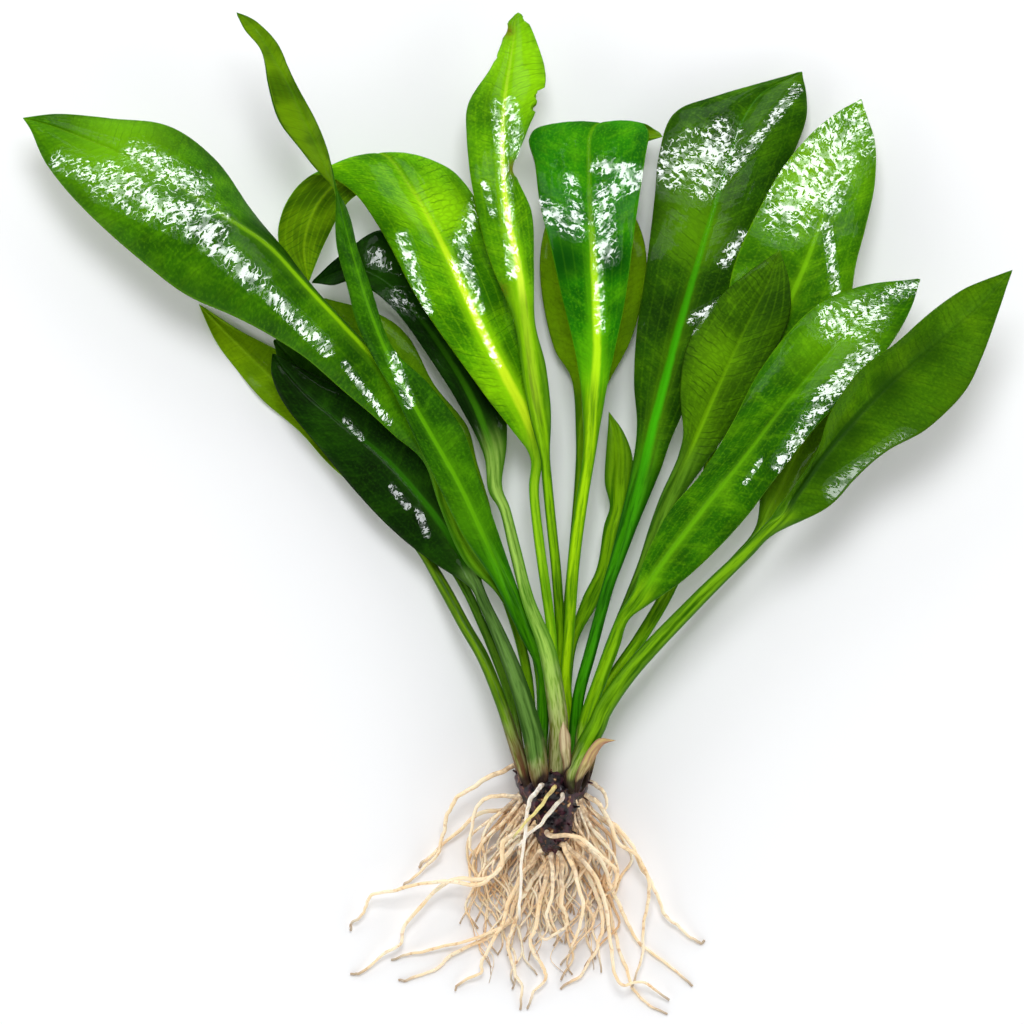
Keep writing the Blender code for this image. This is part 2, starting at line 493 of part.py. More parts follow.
# Each root: the points that its middle passes through, from the crown out.
ROOTS = {
    "root_upper_left": [
        (-0.75, -25.3, 4.5), (-3.5, -26.7, 4.0), (-6.0, -28.4, 3.4), (-7.0, -30.2, 2.8), (-7.5, -32.4, 2.2),
        (-8.3, -34.5, 1.5), (-10.9, -36.8, 0.8), (-11.5, -37.4, 0.5),
    ],
    "root_left_hook": [
        (-0.2, -28.2, 5.0), (-2.7, -28.2, 4.7), (-4.2, -29.7, 4.2), (-4.7, -33.0, 3.4), (-4.2, -34.5, 3.0),
    ],
    "root_left_slant": [
        (0.2, -29.4, 2.4), (-3.7, -30.0, 1.8), (-6.7, -32.5, 1.0), (-9.2, -34.7, 0.6), (-9.9, -35.4, 0.5),
    ],
    "root_far_left_upper": [
        (1.2, -31.4, 5.4), (-1.2, -32.5, 5.0), (-1.7, -35.3, 4.6), (-3.9, -37.0, 4.2), (-7.7, -36.7, 3.6),
        (-11.7, -37.5, 2.8), (-14.7, -38.3, 1.8), (-15.3, -39.8, 1.2), (-16.6, -41.1, 0.7), (-16.7, -41.8, 0.45),
    ],
    "root_far_left_lower": [
        (1.0, -31.8, 3.5), (-1.0, -34.0, 3.2), (-2.7, -36.3, 2.9), (-6.7, -36.7, 2.4), (-9.2, -38.8, 1.9),
        (-11.4, -41.5, 1.5), (-11.6, -43.0, 1.3), (-13.2, -44.0, 1.1), (-15.7, -46.0, 0.5), (-16.7, -46.1, 0.3),
    ],
    "root_left_low_a": [
        (1.8, -33.4, 2.6), (0.4, -36.5, 2.0), (-0.2, -39.0, 1.9), (-1.7, -41.5, 1.6), (-6.7, -43.2, 1.1),
        (-10.2, -44.0, 0.6), (-12.7, -44.7, 0.3),
    ],
    "root_left_low_b": [
        (2.4, -33.9, 1.6), (1.6, -37.0, 1.1), (0.3, -40.0, 1.0), (-2.7, -42.3, 0.85), (-6.7, -44.3, 0.5),
        (-7.9, -45.5, 0.4), (-10.9, -46.7, 0.3), (-11.9, -46.8, 0.3),
    ],
    "root_low_left": [
        (2.2, -33.9, 4.0), (0.6, -36.0, 3.2), (-0.7, -38.5, 2.9), (-1.7, -41.5, 2.5), (-3.4, -44.5, 1.6),
        (-3.7, -46.0, 1.1), (-5.7, -47.0, 0.6), (-6.2, -47.8, 0.4),
    ],
    "root_low_centre_a": [
        (3.0, -34.5, 2.6), (1.4, -37.0, 2.3), (0.3, -38.8, 2.4), (-0.2, -41.0, 2.4), (-0.9, -43.0, 1.7),
        (-0.2, -46.0, 1.1), (0.5, -47.5, 0.7), (0.3, -49.7, 0.3),
    ],
    "root_low_centre_b": [
        (3.4, -34.7, 3.6), (2.6, -37.5, 3.2), (1.8, -41.5, 2.4), (1.3, -43.0, 2.0), (2.5, -45.3, 1.4),
        (2.9, -46.5, 1.1), (1.6, -48.1, 0.7), (1.1, -49.7, 0.3),
    ],
    "root_loop": [
        (4.4, -34.3, 4.4), (4.5, -36.5, 4.4), (4.5, -39.0, 4.1), (5.0, -40.3, 3.8), (4.6, -41.5, 3.5),
        (2.8, -42.5, 3.2), (1.9, -41.6, 3.4),
    ],
    "root_low_right": [
        (5.2, -33.8, 2.2), (7.3, -36.5, 1.9), (8.6, -40.5, 1.7), (8.3, -42.5, 1.5), (7.8, -44.0, 1.2),
        (6.3, -46.3, 0.7), (4.3, -47.6, 0.3),
    ],
    "root_short_right": [
        (7.6, -26.9, 3.6), (8.4, -27.5, 3.4), (9.0, -28.5, 3.2), (8.7, -30.0, 3.0),
    ],
    "root_right_a": [
        (7.4, -28.3, 4.6), (8.8, -29.8, 4.4), (10.1, -32.7, 3.8), (12.3, -34.5, 3.2), (13.3, -37.5, 2.6),
        (12.8, -40.5, 2.0), (12.5, -44.5, 1.4), (11.5, -47.5, 1.1),
    ],
    "root_right_b": [
        (6.9, -29.6, 2.6), (9.1, -30.7, 2.5), (11.1, -32.5, 2.3), (12.6, -35.5, 1.9), (13.8, -37.5, 1.6),
        (14.8, -40.0, 1.2), (16.6, -41.7, 0.8), (18.3, -43.0, 0.4), (18.8, -42.8, 0.3),
    ],
    "root_right_c": [
        (5.7, -32.4, 3.3), (8.3, -34.5, 3.0), (9.5, -37.5, 2.4), (10.9, -40.5, 1.3), (12.3, -43.0, 0.6),
        (15.3, -45.3, 0.4), (17.6, -47.3, 0.3),
    ],
    "root_right_d": [
        (5.2, -33.3, 4.4), (8.0, -36.5, 3.9), (9.1, -40.5, 3.2), (9.5, -44.0, 2.7), (10.3, -47.0, 2.2),
        (12.8, -47.0, 1.5), (15.3, -48.8, 0.6),
    ],
    "root_right_e": [
        (5.6, -33.8, 1.2), (8.4, -37.5, 0.9), (9.6, -41.0, 0.5), (10.1, -43.0, 0.5), (11.1, -46.0, 0.4),
        (12.3, -48.5, 0.35), (15.1, -50.2, 0.3),
    ],
    "root_front_white": [
        (2.3, -27.2, 7.7), (1.3, -28.5, 7.3), (1.0, -30.0, 7.0), (0.5, -34.5, 6.3), (0.3, -38.5, 5.5),
        (0.2, -41.0, 4.6),
    ],
    "root_front_yellow": [
        (3.6, -27.4, 7.9), (1.8, -29.7, 8.0), (-0.5, -32.3, 7.7),
    ],
    "root_front_short": [
        (4.5, -28.2, 7.6), (2.5, -30.7, 6.9), (0.8, -32.3, 5.9), (-0.3, -33.5, 5.8),
    ],
    "root_front_right": [
        (3.2, -32.0, 6.3), (6.3, -32.3, 6.4), (8.3, -34.0, 5.8), (9.9, -35.5, 5.2), (9.9, -37.0, 4.8),
        (9.1, -38.0, 4.5),
    ],
    "root_middle_a": [
        (3.4, -34.5, 5.2), (3.6, -37.5, 5.2), (3.0, -40.0, 4.8), (3.4, -42.0, 4.3),
    ],
    "root_middle_b": [
        (4.8, -33.4, 5.4), (6.0, -36.5, 5.4), (6.6, -39.5, 4.9), (6.0, -42.0, 4.2), (5.2, -44.0, 3.2),
    ],
}

# The colour and roughness of each kind of piece.
LEAF_LOOK = ((0.08, 0.24, 0.01), 0.25)
ROOT_LOOK = ((0.72, 0.58, 0.38), 0.7)
CROWN_LOOK = ((0.03, 0.015, 0.012), 0.8)
SHEATH_LOOK = ((0.55, 0.36, 0.2), 0.6)


def clear_scene():
    for old in list(bpy.data.objects):
        bpy.data.objects.remove(old, do_unlink=True)


def make_material(name, look):
    colour, roughness = look
    material = bpy.data.materials.new(name)
    material.use_nodes = True
    shader = material.node_tree.nodes["Principled BSDF"]
    shader.inputs["Base Color"].default_value = (*colour, 1.0)
    shader.inputs["Roughness"].default_value = roughness
    shader.inputs["Metallic"].default_value = 0.0
    return material


def place(point):
    """A point of the drawing, in metres above the surface."""
    return Vector((point[0], point[1], point[2] - REST_HEIGHT)) * SQUARE


def smooth_step(value):
    value = min(max(value, 0.0), 1.0)
    return value * value * (3 - 2 * value)


def curve_through(points, steps):
    """Points of a smooth curve through the given ones, with some steps to each span."""
    points = [Vector(p) for p in points]
    ends = [2 * points[0] - points[1], *points, 2 * points[-1] - points[-2]]
    curve = []
    for before, start, end, after in zip(ends, ends[1:], ends[2:], ends[3:]):
        for i in range(steps):
            t = i / steps
            curve.append(
                start
                + 0.5 * t * (end - before)
                + t * t * (before - 2.5 * start + 2 * end - 0.5 * after)
                + 0.5 * t * t * t * (3 * start - before - 3 * end + after)
            )
    curve.append(points[-1])
    return curve


def leaf_sections(leaf):
    """The left margin, midrib and right margin of each cross-section, from the crown out."""
    petiole = leaf["petiole"]
    path = [Vector(row[:3]) for row in petiole]
    path.append(Vector(leaf["blade"][0][3:6]))
    sections = []
    for i, row in enumerate(petiole):
        # The cut end of a petiole stands square to the crown.
        along = path[i + 1] - path[i - 1] if i else Vector((0.0, 1.0, 0.0))
        side = Vector((-along.y, along.x, 0.0)).normalized() * row[3]
        sections.append((path[i] + side, path[i], path[i] - side))
    for row in leaf["blade"]:
        middle = Vector(row[3:6])
        left = Vector((row[0], row[1], middle.z + row[2]))
        right = Vector((row[6], row[7], middle.z + row[8]))
        sections.append((left, middle, right))
    if leaf["face"] < 0:
        sections = [(right, middle, left) for left, middle, right in sections]
    return sections


def section_ring(left, middle, right, along):
    """The eight points round one cross-section, from the left margin over the upper face and back."""
    half_width = ((left - middle).length + (right - middle).length) / 2
    blade = smooth_step((half_width - PETIOLE_TO) / (BLADE_FROM - PETIOLE_TO))
    top = BLADE_TOP * blade + PETIOLE_TOP * half_width * (1 - blade)
    depth = RIB_DEPTH * blade + PETIOLE_DEPTH * half_width * (1 - blade)
    side = BLADE_SIDE * blade + PETIOLE_SIDE * half_width * (1 - blade)
    up = (right - left).cross(along).normalized()
    up_left = (middle - left).cross(along).normalized()
    up_right = (right - middle).cross(along).normalized()
    swell = SWELL * half_width * blade
    half_left = (left + middle) / 2 + up_left * swell
    half_right = (right + middle) / 2 + up_right * swell
    side_top = BLADE_SIDE * blade + top * (1 - blade)
    return [
        left,
        half_left + up_left * side_top,
        middle + up * top,
        half_right + up_right * side_top,
        right,
        half_right - up_right * side,
        middle - up * depth,
        half_left - up_left * side,
    ]


def leaf_mesh(leaf):
    """One closed solid: the rings of the cross-sections joined, a flat cut end and a pointed tip."""
    sections = leaf_sections(leaf)
    tip = Vector(leaf["tip"])
    middles = [section[1] for section in sections]
    middles.append(tip)
    mesh = bmesh.new()
    rings = []
    for i, (left, middle, right) in enumerate(sections):
        along = (middles[i + 1] - middles[max(i - 1, 0)]).normalized()
        ring = section_ring(left, middle, right, along)
        rings.append([mesh.verts.new(place(p)) for p in ring])
    point = mesh.verts.new(place(tip))
    for near, far in zip(rings, rings[1:]):
        for i in range(len(near)):
            j = (i + 1) % len(near)
            mesh.faces.new((near[i], near[j], far[j], far[i]))
    mesh.faces.new(rings[0][::-1])
    for i in range(len(rings[-1])):
        j = (i + 1) % len(rings[-1])
        mesh.faces.new((rings[-1][i], rings[-1][j], point))
    bmesh.ops.recalc_face_normals(mesh, faces=mesh.faces)
    return mesh


def crown_mesh():
    """A tapering rootstock with blunt lobes."""
    mesh = bmesh.new()
    rings = []
    for number, (y, half_x, half_z) in enumerate(CROWN_RINGS):
        ring = []
        for i in range(CROWN_SIDES):
            turn = 2 * math.pi * i / CROWN_SIDES
            lump = 1 + CROWN_LUMP * math.sin(CROWN_LOBES * turn + CROWN_LOBE_TURN * number)
            x = CROWN_X + half_x * lump * math.cos(turn)
            z = CROWN_Z + half_z * lump * math.sin(turn)
            ring.append(mesh.verts.new(place((x, y, z))))
        rings.append(ring)
    point = mesh.verts.new(place((CROWN_X, CROWN_TIP_Y, CROWN_Z)))
    for near, far in zip(rings, rings[1:]):
        for i in range(CROWN_SIDES):
            j = (i + 1) % CROWN_SIDES
            mesh.faces.new((near[i], near[j], far[j], far[i]))
    mesh.faces.new(rings[0][::-1])
    for i in range(CROWN_SIDES):
        j = (i + 1) % CROWN_SIDES
        mesh.faces.new((rings[-1][i], rings[-1][j], point))
    bmesh.ops.recalc_face_normals(mesh, faces=mesh.faces)
    return mesh


def add_mesh(name, mesh, material):
    data = bpy.data.meshes.new(name)
    mesh.to_mesh(data)
    mesh.free()
    data.materials.append(material)
    data.shade_smooth()
    data.set_sharp_from_angle(angle=SHARP_ANGLE)
    piece = bpy.data.objects.new(name, data)
    bpy.context.scene.collection.objects.link(piece)
    return piece


def add_root(name, points, material):
    """A tapering tube with closed ends."""
    path = curve_through(points, ROOT_STEPS)
    data = bpy.data.curves.new(name, "CURVE")
    data.dimensions = "3D"
    data.bevel_depth = SQUARE
    data.bevel_resolution = 0
    data.use_fill_caps = True
    spline = data.splines.new("POLY")
    spline.points.add(len(path) - 1)
    for i, point in enumerate(path):
        share = i / (len(path) - 1)
        spline.points[i].co = (*place(point), 1.0)
        spline.points[i].radius = ROOT_BASE_RADIUS + (ROOT_TIP_RADIUS - ROOT_BASE_RADIUS) * share
    data.materials.append(material)
    piece = bpy.data.objects.new(name, data)
    bpy.context.scene.collection.objects.link(piece)
    return piece


def main():
    clear_scene()
    for name, leaf in LEAVES.items():
        look = SHEATH_LOOK if name.startswith("sheath") else LEAF_LOOK
        add_mesh(name, leaf_mesh(leaf), make_material(name, look))
    add_mesh("crown", crown_mesh(), make_material("crown", CROWN_LOOK))
    for name, points in ROOTS.items():
        add_root(name, points, make_material(name, ROOT_LOOK))


main()
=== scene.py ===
"""Amazon sword plant: the looks of its leaves, crown and roots, lying on a pale table.

X runs to the plant's right, Y from its roots to its leaf tips, and Z up from the table.
"""
import math

import bpy
import numpy as np
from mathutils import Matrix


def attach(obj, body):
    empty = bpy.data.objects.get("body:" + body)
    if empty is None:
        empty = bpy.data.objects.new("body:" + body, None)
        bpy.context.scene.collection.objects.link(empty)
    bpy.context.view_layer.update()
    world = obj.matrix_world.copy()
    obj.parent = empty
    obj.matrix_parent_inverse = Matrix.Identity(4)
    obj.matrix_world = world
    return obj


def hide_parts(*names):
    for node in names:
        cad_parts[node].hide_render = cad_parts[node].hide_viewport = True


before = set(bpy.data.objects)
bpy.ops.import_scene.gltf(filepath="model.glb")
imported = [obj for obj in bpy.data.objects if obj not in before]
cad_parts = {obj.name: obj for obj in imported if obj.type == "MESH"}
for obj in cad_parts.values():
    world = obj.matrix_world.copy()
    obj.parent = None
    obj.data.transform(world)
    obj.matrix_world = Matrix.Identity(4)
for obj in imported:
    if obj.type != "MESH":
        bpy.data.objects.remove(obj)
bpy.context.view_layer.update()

MM = 0.001
# One square of the drawing grid, in metres: places and widths in the tables below are counted in squares.
SQUARE = 0.0035
# Height of the lowest point of the drawing, in squares: what lies there touches the table.
REST_HEIGHT = 0.16

# How far each half of a blade swells between midrib and margin, as a share of its width.
SWELL = 0.05
# Half widths, in squares, at which a petiole starts to widen into the blade, and has turned fully into it.
PETIOLE_TO = 0.7
BLADE_FROM = 2.2
# How much of the fold at a midrib is rounded off.
FOLD_ROUNDING = 0.5

# Thickness of a blade, the groove over its midrib and the ridge under it.
BLADE_THICKNESS = 0.5 * MM
RIB_GROOVE = 0.25 * MM
RIB_RIDGE = 0.75 * MM
# Half width of a midrib where the blade starts and at its tip.
RIB_WIDE = 1.25 * MM
RIB_FINE = 0.3 * MM
# The section of a petiole, as shares of its half width: how far it is raised above, channelled, and deep below.
PETIOLE_TOP = 0.45
PETIOLE_CHANNEL = 0.3
PETIOLE_DEPTH = 0.95
# Size of the mesh along a blade, along a petiole and across.
BLADE_STEP = 0.8 * MM
PETIOLE_STEP = 2.0 * MM
ACROSS_STEP = 0.8 * MM
# Waves of a blade's margin.
WAVE_HEIGHT = 0.7 * MM
WAVE_LENGTH = 31 * MM

# Each leaf: the face that it turns up (1 its glossy upper face, -1 its underside), then its petiole from the
# crown up as (x, y, z, half width), then the cross-sections of its blade as
# (left x, left y, left rise, midrib x, midrib y, midrib z, right x, right y, right rise), then its tip.
# A margin's rise is counted from the midrib's height. Left and right are as seen from above.
LEAVES = {
    "leaf_long_left": {
        "face": 1,
        "petiole": [
            (2.1, -26.0, 3.9, 0.65),
            (2.6, -20.0, 4.4, 0.60),
            (2.1, -14.5, 4.5, 0.55),
            (0.6, -11.5, 4.6, 0.50),
            (-1.7, -7.5, 5.5, 0.50),
        ],
        "blade": [
            (-5.4, -4.5, 0.0, -4.7, -3.7, 6.0, -3.9, -3.2, 0.0),
            (-7.7, 0.7, 0.0, -7.0, 1.0, 6.5, -6.1, 1.5, -0.2),
            (-9.3, 5.2, -0.2, -8.3, 5.7, 7.1, -7.1, 6.5, -0.6),
            (-12.2, 7.9, -0.5, -10.5, 10.0, 7.8, -9.3, 11.0, -1.2),
            (-15.5, 10.8, -0.8, -13.2, 14.5, 8.4, -12.5, 14.9, -2.0),
            (-19.5, 14.3, -1.0, -16.7, 18.3, 8.9, -16.3, 18.1, -2.6),
            (-23.7, 17.4, -1.2, -20.9, 22.7, 9.3, -20.3, 22.5, -2.8),
            (-28.5, 19.9, -1.2, -24.9, 27.0, 9.4, -23.2, 26.5, -2.6),
            (-33.7, 22.4, -1.0, -29.2, 29.9, 9.3, -26.5, 30.7, -2.2),
            (-39.2, 26.8, -0.8, -34.2, 33.2, 8.9, -30.2, 35.7, -1.4),
            (-43.7, 31.0, -0.5, -39.2, 35.9, 8.4, -34.9, 39.0, -0.7),
            (-47.0, 35.0, -0.2, -43.7, 37.8, 7.9, -40.9, 39.8, -0.3),
            (-48.5, 38.3, 0.0, -46.9, 39.0, 7.6, -45.7, 40.1, 0.0),
        ],
        "tip": (-49.4, 39.7, 7.4),
    },
    "leaf_back_left": {
        "face": -1,
        "petiole": [
            (0.8, -26.0, 6.1, 0.70),
            (-0.2, -23.0, 6.0, 0.65),
            (-1.5, -19.0, 5.6, 0.60),
            (-3.3, -14.5, 4.9, 0.60),
            (-5.3, -11.0, 4.0, 0.60),
            (-7.2, -7.5, 3.0, 0.60),
            (-9.6, -3.5, 2.0, 0.50),
            (-12.2, -0.5, 1.3, 0.50),
        ],
        "blade": [
            (-14.8, 1.6, 0.0, -14.2, 2.0, 1.0, -13.6, 2.5, 0.0),
            (-18.7, 4.9, 0.0, -17.2, 5.8, 0.8, -15.5, 7.3, 0.1),
            (-21.8, 8.3, 0.0, -20.5, 9.7, 0.7, -18.7, 12.7, 0.2),
            (-25.5, 11.5, 0.0, -23.7, 13.0, 0.6, -21.7, 15.5, 0.2),
            (-28.1, 14.5, 0.0, -26.7, 16.0, 0.5, -24.7, 16.9, 0.1),
            (-30.3, 17.5, 0.0, -29.5, 18.7, 0.4, -28.3, 18.8, 0.0),
        ],
        "tip": (-32.0, 21.2, 0.2),
    },
    "leaf_dark_left": {
        "face": 1,
        "petiole": [
            (2.2, -26.0, 7.2, 0.95),
            (1.7, -22.5, 7.6, 1.05),
            (0.8, -19.0, 7.6, 0.95),
            (-0.3, -15.7, 7.3, 0.85),
            (-1.8, -12.0, 6.6, 0.70),
            (-3.3, -8.8, 5.6, 0.60),
        ],
        "blade": [
            (-4.9, -7.1, 0.0, -4.3, -6.5, 5.0, -3.7, -5.9, 0.0),
            (-8.5, -4.7, -0.2, -6.1, -3.1, 4.5, -4.5, -1.3, 0.0),
            (-12.3, -1.7, -0.4, -9.2, 1.2, 4.4, -6.9, 3.7, 0.2),
            (-16.3, 2.5, -0.4, -13.0, 5.5, 4.1, -10.5, 8.1, 0.2),
            (-20.3, 7.3, -0.4, -17.0, 8.8, 3.9, -14.5, 11.5, 0.2),
            (-23.4, 11.2, -0.3, -20.7, 11.9, 3.7, -18.3, 13.1, 0.2),
            (-24.6, 14.0, -0.1, -23.1, 14.4, 3.5, -21.5, 14.7, 0.1),
        ],
        "tip": (-24.5, 16.2, 3.4),
    },
    "leaf_narrow_left": {
        "face": 1,
        "petiole": [
            (0.5, -26.0, 4.0, 0.60),
            (-0.1, -21.5, 4.1, 0.50),
            (-0.8, -17.9, 4.1, 0.50),
            (-2.1, -14.2, 4.0, 0.50),
            (-3.7, -10.5, 3.7, 0.45),
            (-5.1, -7.5, 3.4, 0.45),
            (-6.9, -4.8, 3.1, 0.40),
        ],
        "blade": [
            (-9.8, -2.8, 0.0, -9.2, -2.3, 2.9, -8.6, -1.8, 0.0),
            (-14.1, 0.3, 0.0, -12.0, 1.5, 2.7, -10.1, 3.3, 0.0),
            (-17.9, 5.1, 0.0, -15.5, 6.3, 2.5, -12.7, 8.5, 0.1),
            (-21.2, 9.5, 0.0, -18.5, 10.3, 2.4, -15.5, 12.7, 0.2),
            (-23.1, 12.9, 0.0, -21.2, 13.8, 2.3, -18.2, 15.8, 0.2),
            (-24.0, 15.4, 0.0, -23.0, 16.0, 2.2, -21.4, 17.3, 0.1),
        ],
        "tip": (-24.4, 17.6, 2.2),
    },
    "leaf_twisted": {
        "face": 1,
        "petiole": [
            (2.0, -26.0, 5.0, 0.70),
            (2.5, -22.0, 5.3, 0.60),
            (2.6, -18.0, 5.5, 0.50),
        ],
        "blade": [
            (1.9, -15.3, 0.0, 2.4, -15.0, 5.6, 2.9, -14.7, 0.0),
            (0.2, -11.9, 0.0, 1.0, -11.5, 5.9, 1.6, -11.3, 0.0),
            (-2.2, -6.9, 0.1, -1.2, -6.5, 6.9, -0.4, -6.0, 0.1),
            (-5.4, -2.0, 0.2, -3.6, -1.5, 7.9, -2.1, -1.1, 0.1),
            (-7.9, 3.0, 0.3, -5.9, 3.3, 8.9, -3.9, 4.1, 0.1),
            (-10.2, 7.7, 0.2, -8.3, 7.5, 9.6, -5.5, 8.7, 0.0),
            (-12.2, 11.9, 0.0, -10.7, 11.7, 10.1, -8.7, 13.0, -0.3),
            (-14.4, 15.7, -0.4, -12.9, 16.0, 10.3, -12.1, 16.3, -0.9),
            (-16.4, 20.3, 0.0, -14.7, 20.5, 10.4, -14.0, 20.7, -1.4),
            (-17.5, 25.3, 0.9, -16.2, 25.3, 10.5, -15.5, 25.8, -1.9),
            (-18.2, 29.3, 1.9, -17.3, 29.3, 10.7, -16.7, 29.4, -2.0),
            (-18.1, 32.6, 2.3, -18.1, 32.5, 11.0, -18.1, 32.4, -1.8),
            (-18.4, 35.0, 1.3, -19.2, 35.3, 11.4, -20.9, 35.7, -0.9),
            (-20.0, 39.1, 0.8, -20.9, 39.0, 11.8, -23.6, 38.9, -0.6),
            (-22.1, 43.3, 0.6, -22.7, 43.0, 12.2, -24.7, 42.7, -0.5),
            (-23.9, 46.9, 0.4, -24.7, 46.5, 12.5, -25.5, 46.1, -0.3),
            (-25.9, 49.1, 0.1, -26.5, 48.7, 12.6, -27.1, 48.3, -0.1),
        ],
        "tip": (-27.9, 50.0, 12.7),
    },
    "leaf_yellow_back": {
        "face": 1,
        "petiole": [
            (1.3, -26.0, 2.8, 0.60),
            (1.3, -18.5, 2.6, 0.50),
            (0.4, -13.0, 2.3, 0.50),
            (-1.4, -7.5, 2.0, 0.50),
        ],
        "blade": [
            (-3.6, -3.6, 0.0, -2.9, -3.3, 1.8, -2.3, -3.0, 0.0),
            (-5.5, -0.3, 0.0, -4.0, 0.3, 1.6, -2.6, 0.5, 0.0),
            (-8.5, 3.1, 0.1, -6.2, 4.5, 1.4, -4.0, 5.3, 0.1),
            (-11.7, 6.9, 0.1, -8.7, 8.7, 1.2, -5.1, 9.1, 0.2),
            (-15.1, 10.9, 0.1, -11.5, 12.8, 1.0, -8.3, 13.1, 0.3),
            (-17.9, 14.7, 0.1, -14.2, 16.5, 0.8, -10.9, 17.9, 0.2),
            (-19.5, 17.9, 0.0, -16.7, 19.3, 0.6, -14.1, 20.3, 0.1),
        ],
        "tip": (-19.5, 21.8, 0.2),
    },
    "leaf_arched": {
        "face": 1,
        "petiole": [
            (3.9, -26.0, 5.0, 0.70),
            (3.8, -20.0, 5.1, 0.55),
            (3.5, -12.5, 5.3, 0.50),
            (2.9, -7.5, 5.5, 0.50),
            (2.2, -2.5, 5.6, 0.50),
            (1.7, 2.5, 5.8, 0.50),
        ],
        "blade": [
            (1.3, 5.8, 0.0, 2.0, 6.0, 6.0, 2.7, 6.2, 0.0),
            (-0.7, 8.7, 0.0, 1.1, 9.5, 6.8, 2.4, 10.3, -0.6),
            (-3.9, 12.9, -0.1, -1.2, 14.0, 7.6, 1.3, 14.9, -1.0),
            (-7.5, 17.9, -0.2, -3.5, 18.5, 8.2, 0.0, 18.5, -1.4),
            (-10.6, 22.7, -0.3, -5.7, 23.3, 8.5, -1.2, 22.5, -1.6),
            (-13.6, 28.5, -0.3, -8.0, 28.1, 8.3, -2.9, 26.3, -1.7),
            (-16.4, 32.2, -0.4, -10.5, 32.5, 7.8, -3.8, 30.9, -1.7),
            (-19.5, 34.1, -0.3, -13.5, 36.1, 7.0, -7.2, 35.0, -0.9),
            (-21.9, 32.9, 0.0, -16.9, 34.2, 5.9, -11.7, 33.9, 0.0),
            (-23.6, 30.1, 0.0, -19.9, 31.2, 5.3, -16.5, 31.7, 0.0),
            (-23.7, 26.7, 0.0, -21.3, 27.2, 4.9, -19.1, 27.5, 0.0),
        ],
        "tip": (-20.9, 23.2, 4.6),
    },
    "leaf_shaded": {
        "face": 1,
        "petiole": [
            (4.0, -26.0, 6.1, 0.90),
            (4.2, -22.0, 6.7, 0.95),
            (3.9, -18.5, 7.0, 0.95),
            (3.0, -13.5, 7.2, 0.85),
            (1.1, -8.5, 7.0, 0.65),
            (-0.2, -3.5, 6.2, 0.60),
            (-1.2, 0.5, 5.2, 0.55),
        ],
        "blade": [
            (-2.9, 2.5, 0.0, -2.2, 2.8, 4.8, -1.5, 3.1, 0.0),
            (-3.4, 6.2, 0.0, -2.6, 6.5, 4.4, -1.0, 7.5, 0.0),
            (-5.8, 11.0, 0.0, -4.4, 11.3, 4.1, -1.4, 12.7, 0.0),
            (-8.6, 15.5, 0.0, -7.0, 15.8, 3.9, -3.5, 18.0, 0.1),
            (-11.6, 19.7, 0.1, -10.0, 20.0, 3.8, -6.5, 22.7, 0.1),
            (-14.1, 22.2, 0.3, -13.1, 23.3, 3.8, -9.9, 26.8, 0.1),
            (-16.7, 23.4, 0.7, -16.2, 24.7, 3.7, -13.7, 28.6, 0.0),
            (-18.5, 23.0, 0.6, -18.4, 24.2, 3.5, -17.7, 26.0, 0.0),
        ],
        "tip": (-20.6, 23.3, 3.3),
    },
    "leaf_torn": {
        "face": 1,
        "petiole": [
            (3.7, -26.0, 3.9, 0.70),
            (4.2, -21.0, 3.7, 0.55),
            (4.4, -13.5, 4.5, 0.50),
            (4.0, -6.5, 5.3, 0.50),
            (3.45, -1.0, 5.9, 0.50),
            (3.0, 3.5, 6.6, 0.50),
        ],
        "blade": [
            (2.3, 5.8, 0.0, 2.8, 6.0, 7.1, 3.3, 6.2, 0.0),
            (1.3, 9.7, 0.0, 2.1, 10.0, 7.8, 3.4, 10.5, -0.3),
            (0.5, 14.3, 0.0, 1.4, 14.5, 8.5, 2.9, 14.9, -0.4),
            (-0.3, 19.3, 0.0, 0.9, 19.5, 9.0, 1.8, 19.3, 0.0),
            (-2.5, 24.8, 0.2, 0.2, 24.7, 9.2, 1.7, 24.7, 0.2),
            (-3.8, 29.3, 0.3, -0.9, 29.7, 9.0, 1.5, 30.1, 0.4),
            (-4.7, 33.7, 0.3, -1.3, 34.0, 8.5, -0.2, 34.4, 1.2),
            (-5.1, 38.1, 0.2, -1.4, 38.2, 7.8, 1.0, 38.5, 0.5),
            (-4.9, 41.3, 0.2, -1.2, 41.7, 7.1, 2.6, 42.2, 0.3),
            (-2.7, 44.8, 0.1, -0.7, 45.3, 6.4, 2.8, 44.7, 0.2),
            (-1.6, 47.3, 0.0, -0.3, 47.9, 5.9, 1.8, 47.9, 0.0),
            (-1.1, 49.1, 0.0, -0.2, 49.5, 5.7, 0.9, 49.7, 0.0),
        ],
        "tip": (0.1, 50.3, 5.6),
    },
    "leaf_centre": {
        "face": 1,
        "petiole": [
            (5.3, -26.0, 3.9, 0.70),
            (5.2, -21.0, 4.6, 0.60),
            (4.9, -16.5, 5.1, 0.55),
            (5.3, -10.5, 5.6, 0.55),
            (5.7, -4.5, 5.9, 0.60),
            (6.5, 1.5, 6.2, 0.60),
        ],
        "blade": [
            (6.6, 6.3, 0.0, 7.2, 6.3, 6.4, 7.9, 6.3, 0.0),
            (6.5, 11.3, 0.3, 7.6, 11.0, 7.0, 8.7, 11.2, 0.3),
            (5.8, 16.3, 0.6, 8.0, 16.0, 7.6, 9.8, 16.7, 0.5),
            (4.5, 21.7, 0.8, 7.9, 21.3, 8.0, 10.8, 21.5, 0.7),
            (3.4, 26.5, 0.9, 7.6, 26.3, 8.0, 11.5, 26.7, 0.8),
            (2.3, 31.0, 0.9, 7.3, 31.0, 7.5, 12.1, 31.0, 0.8),
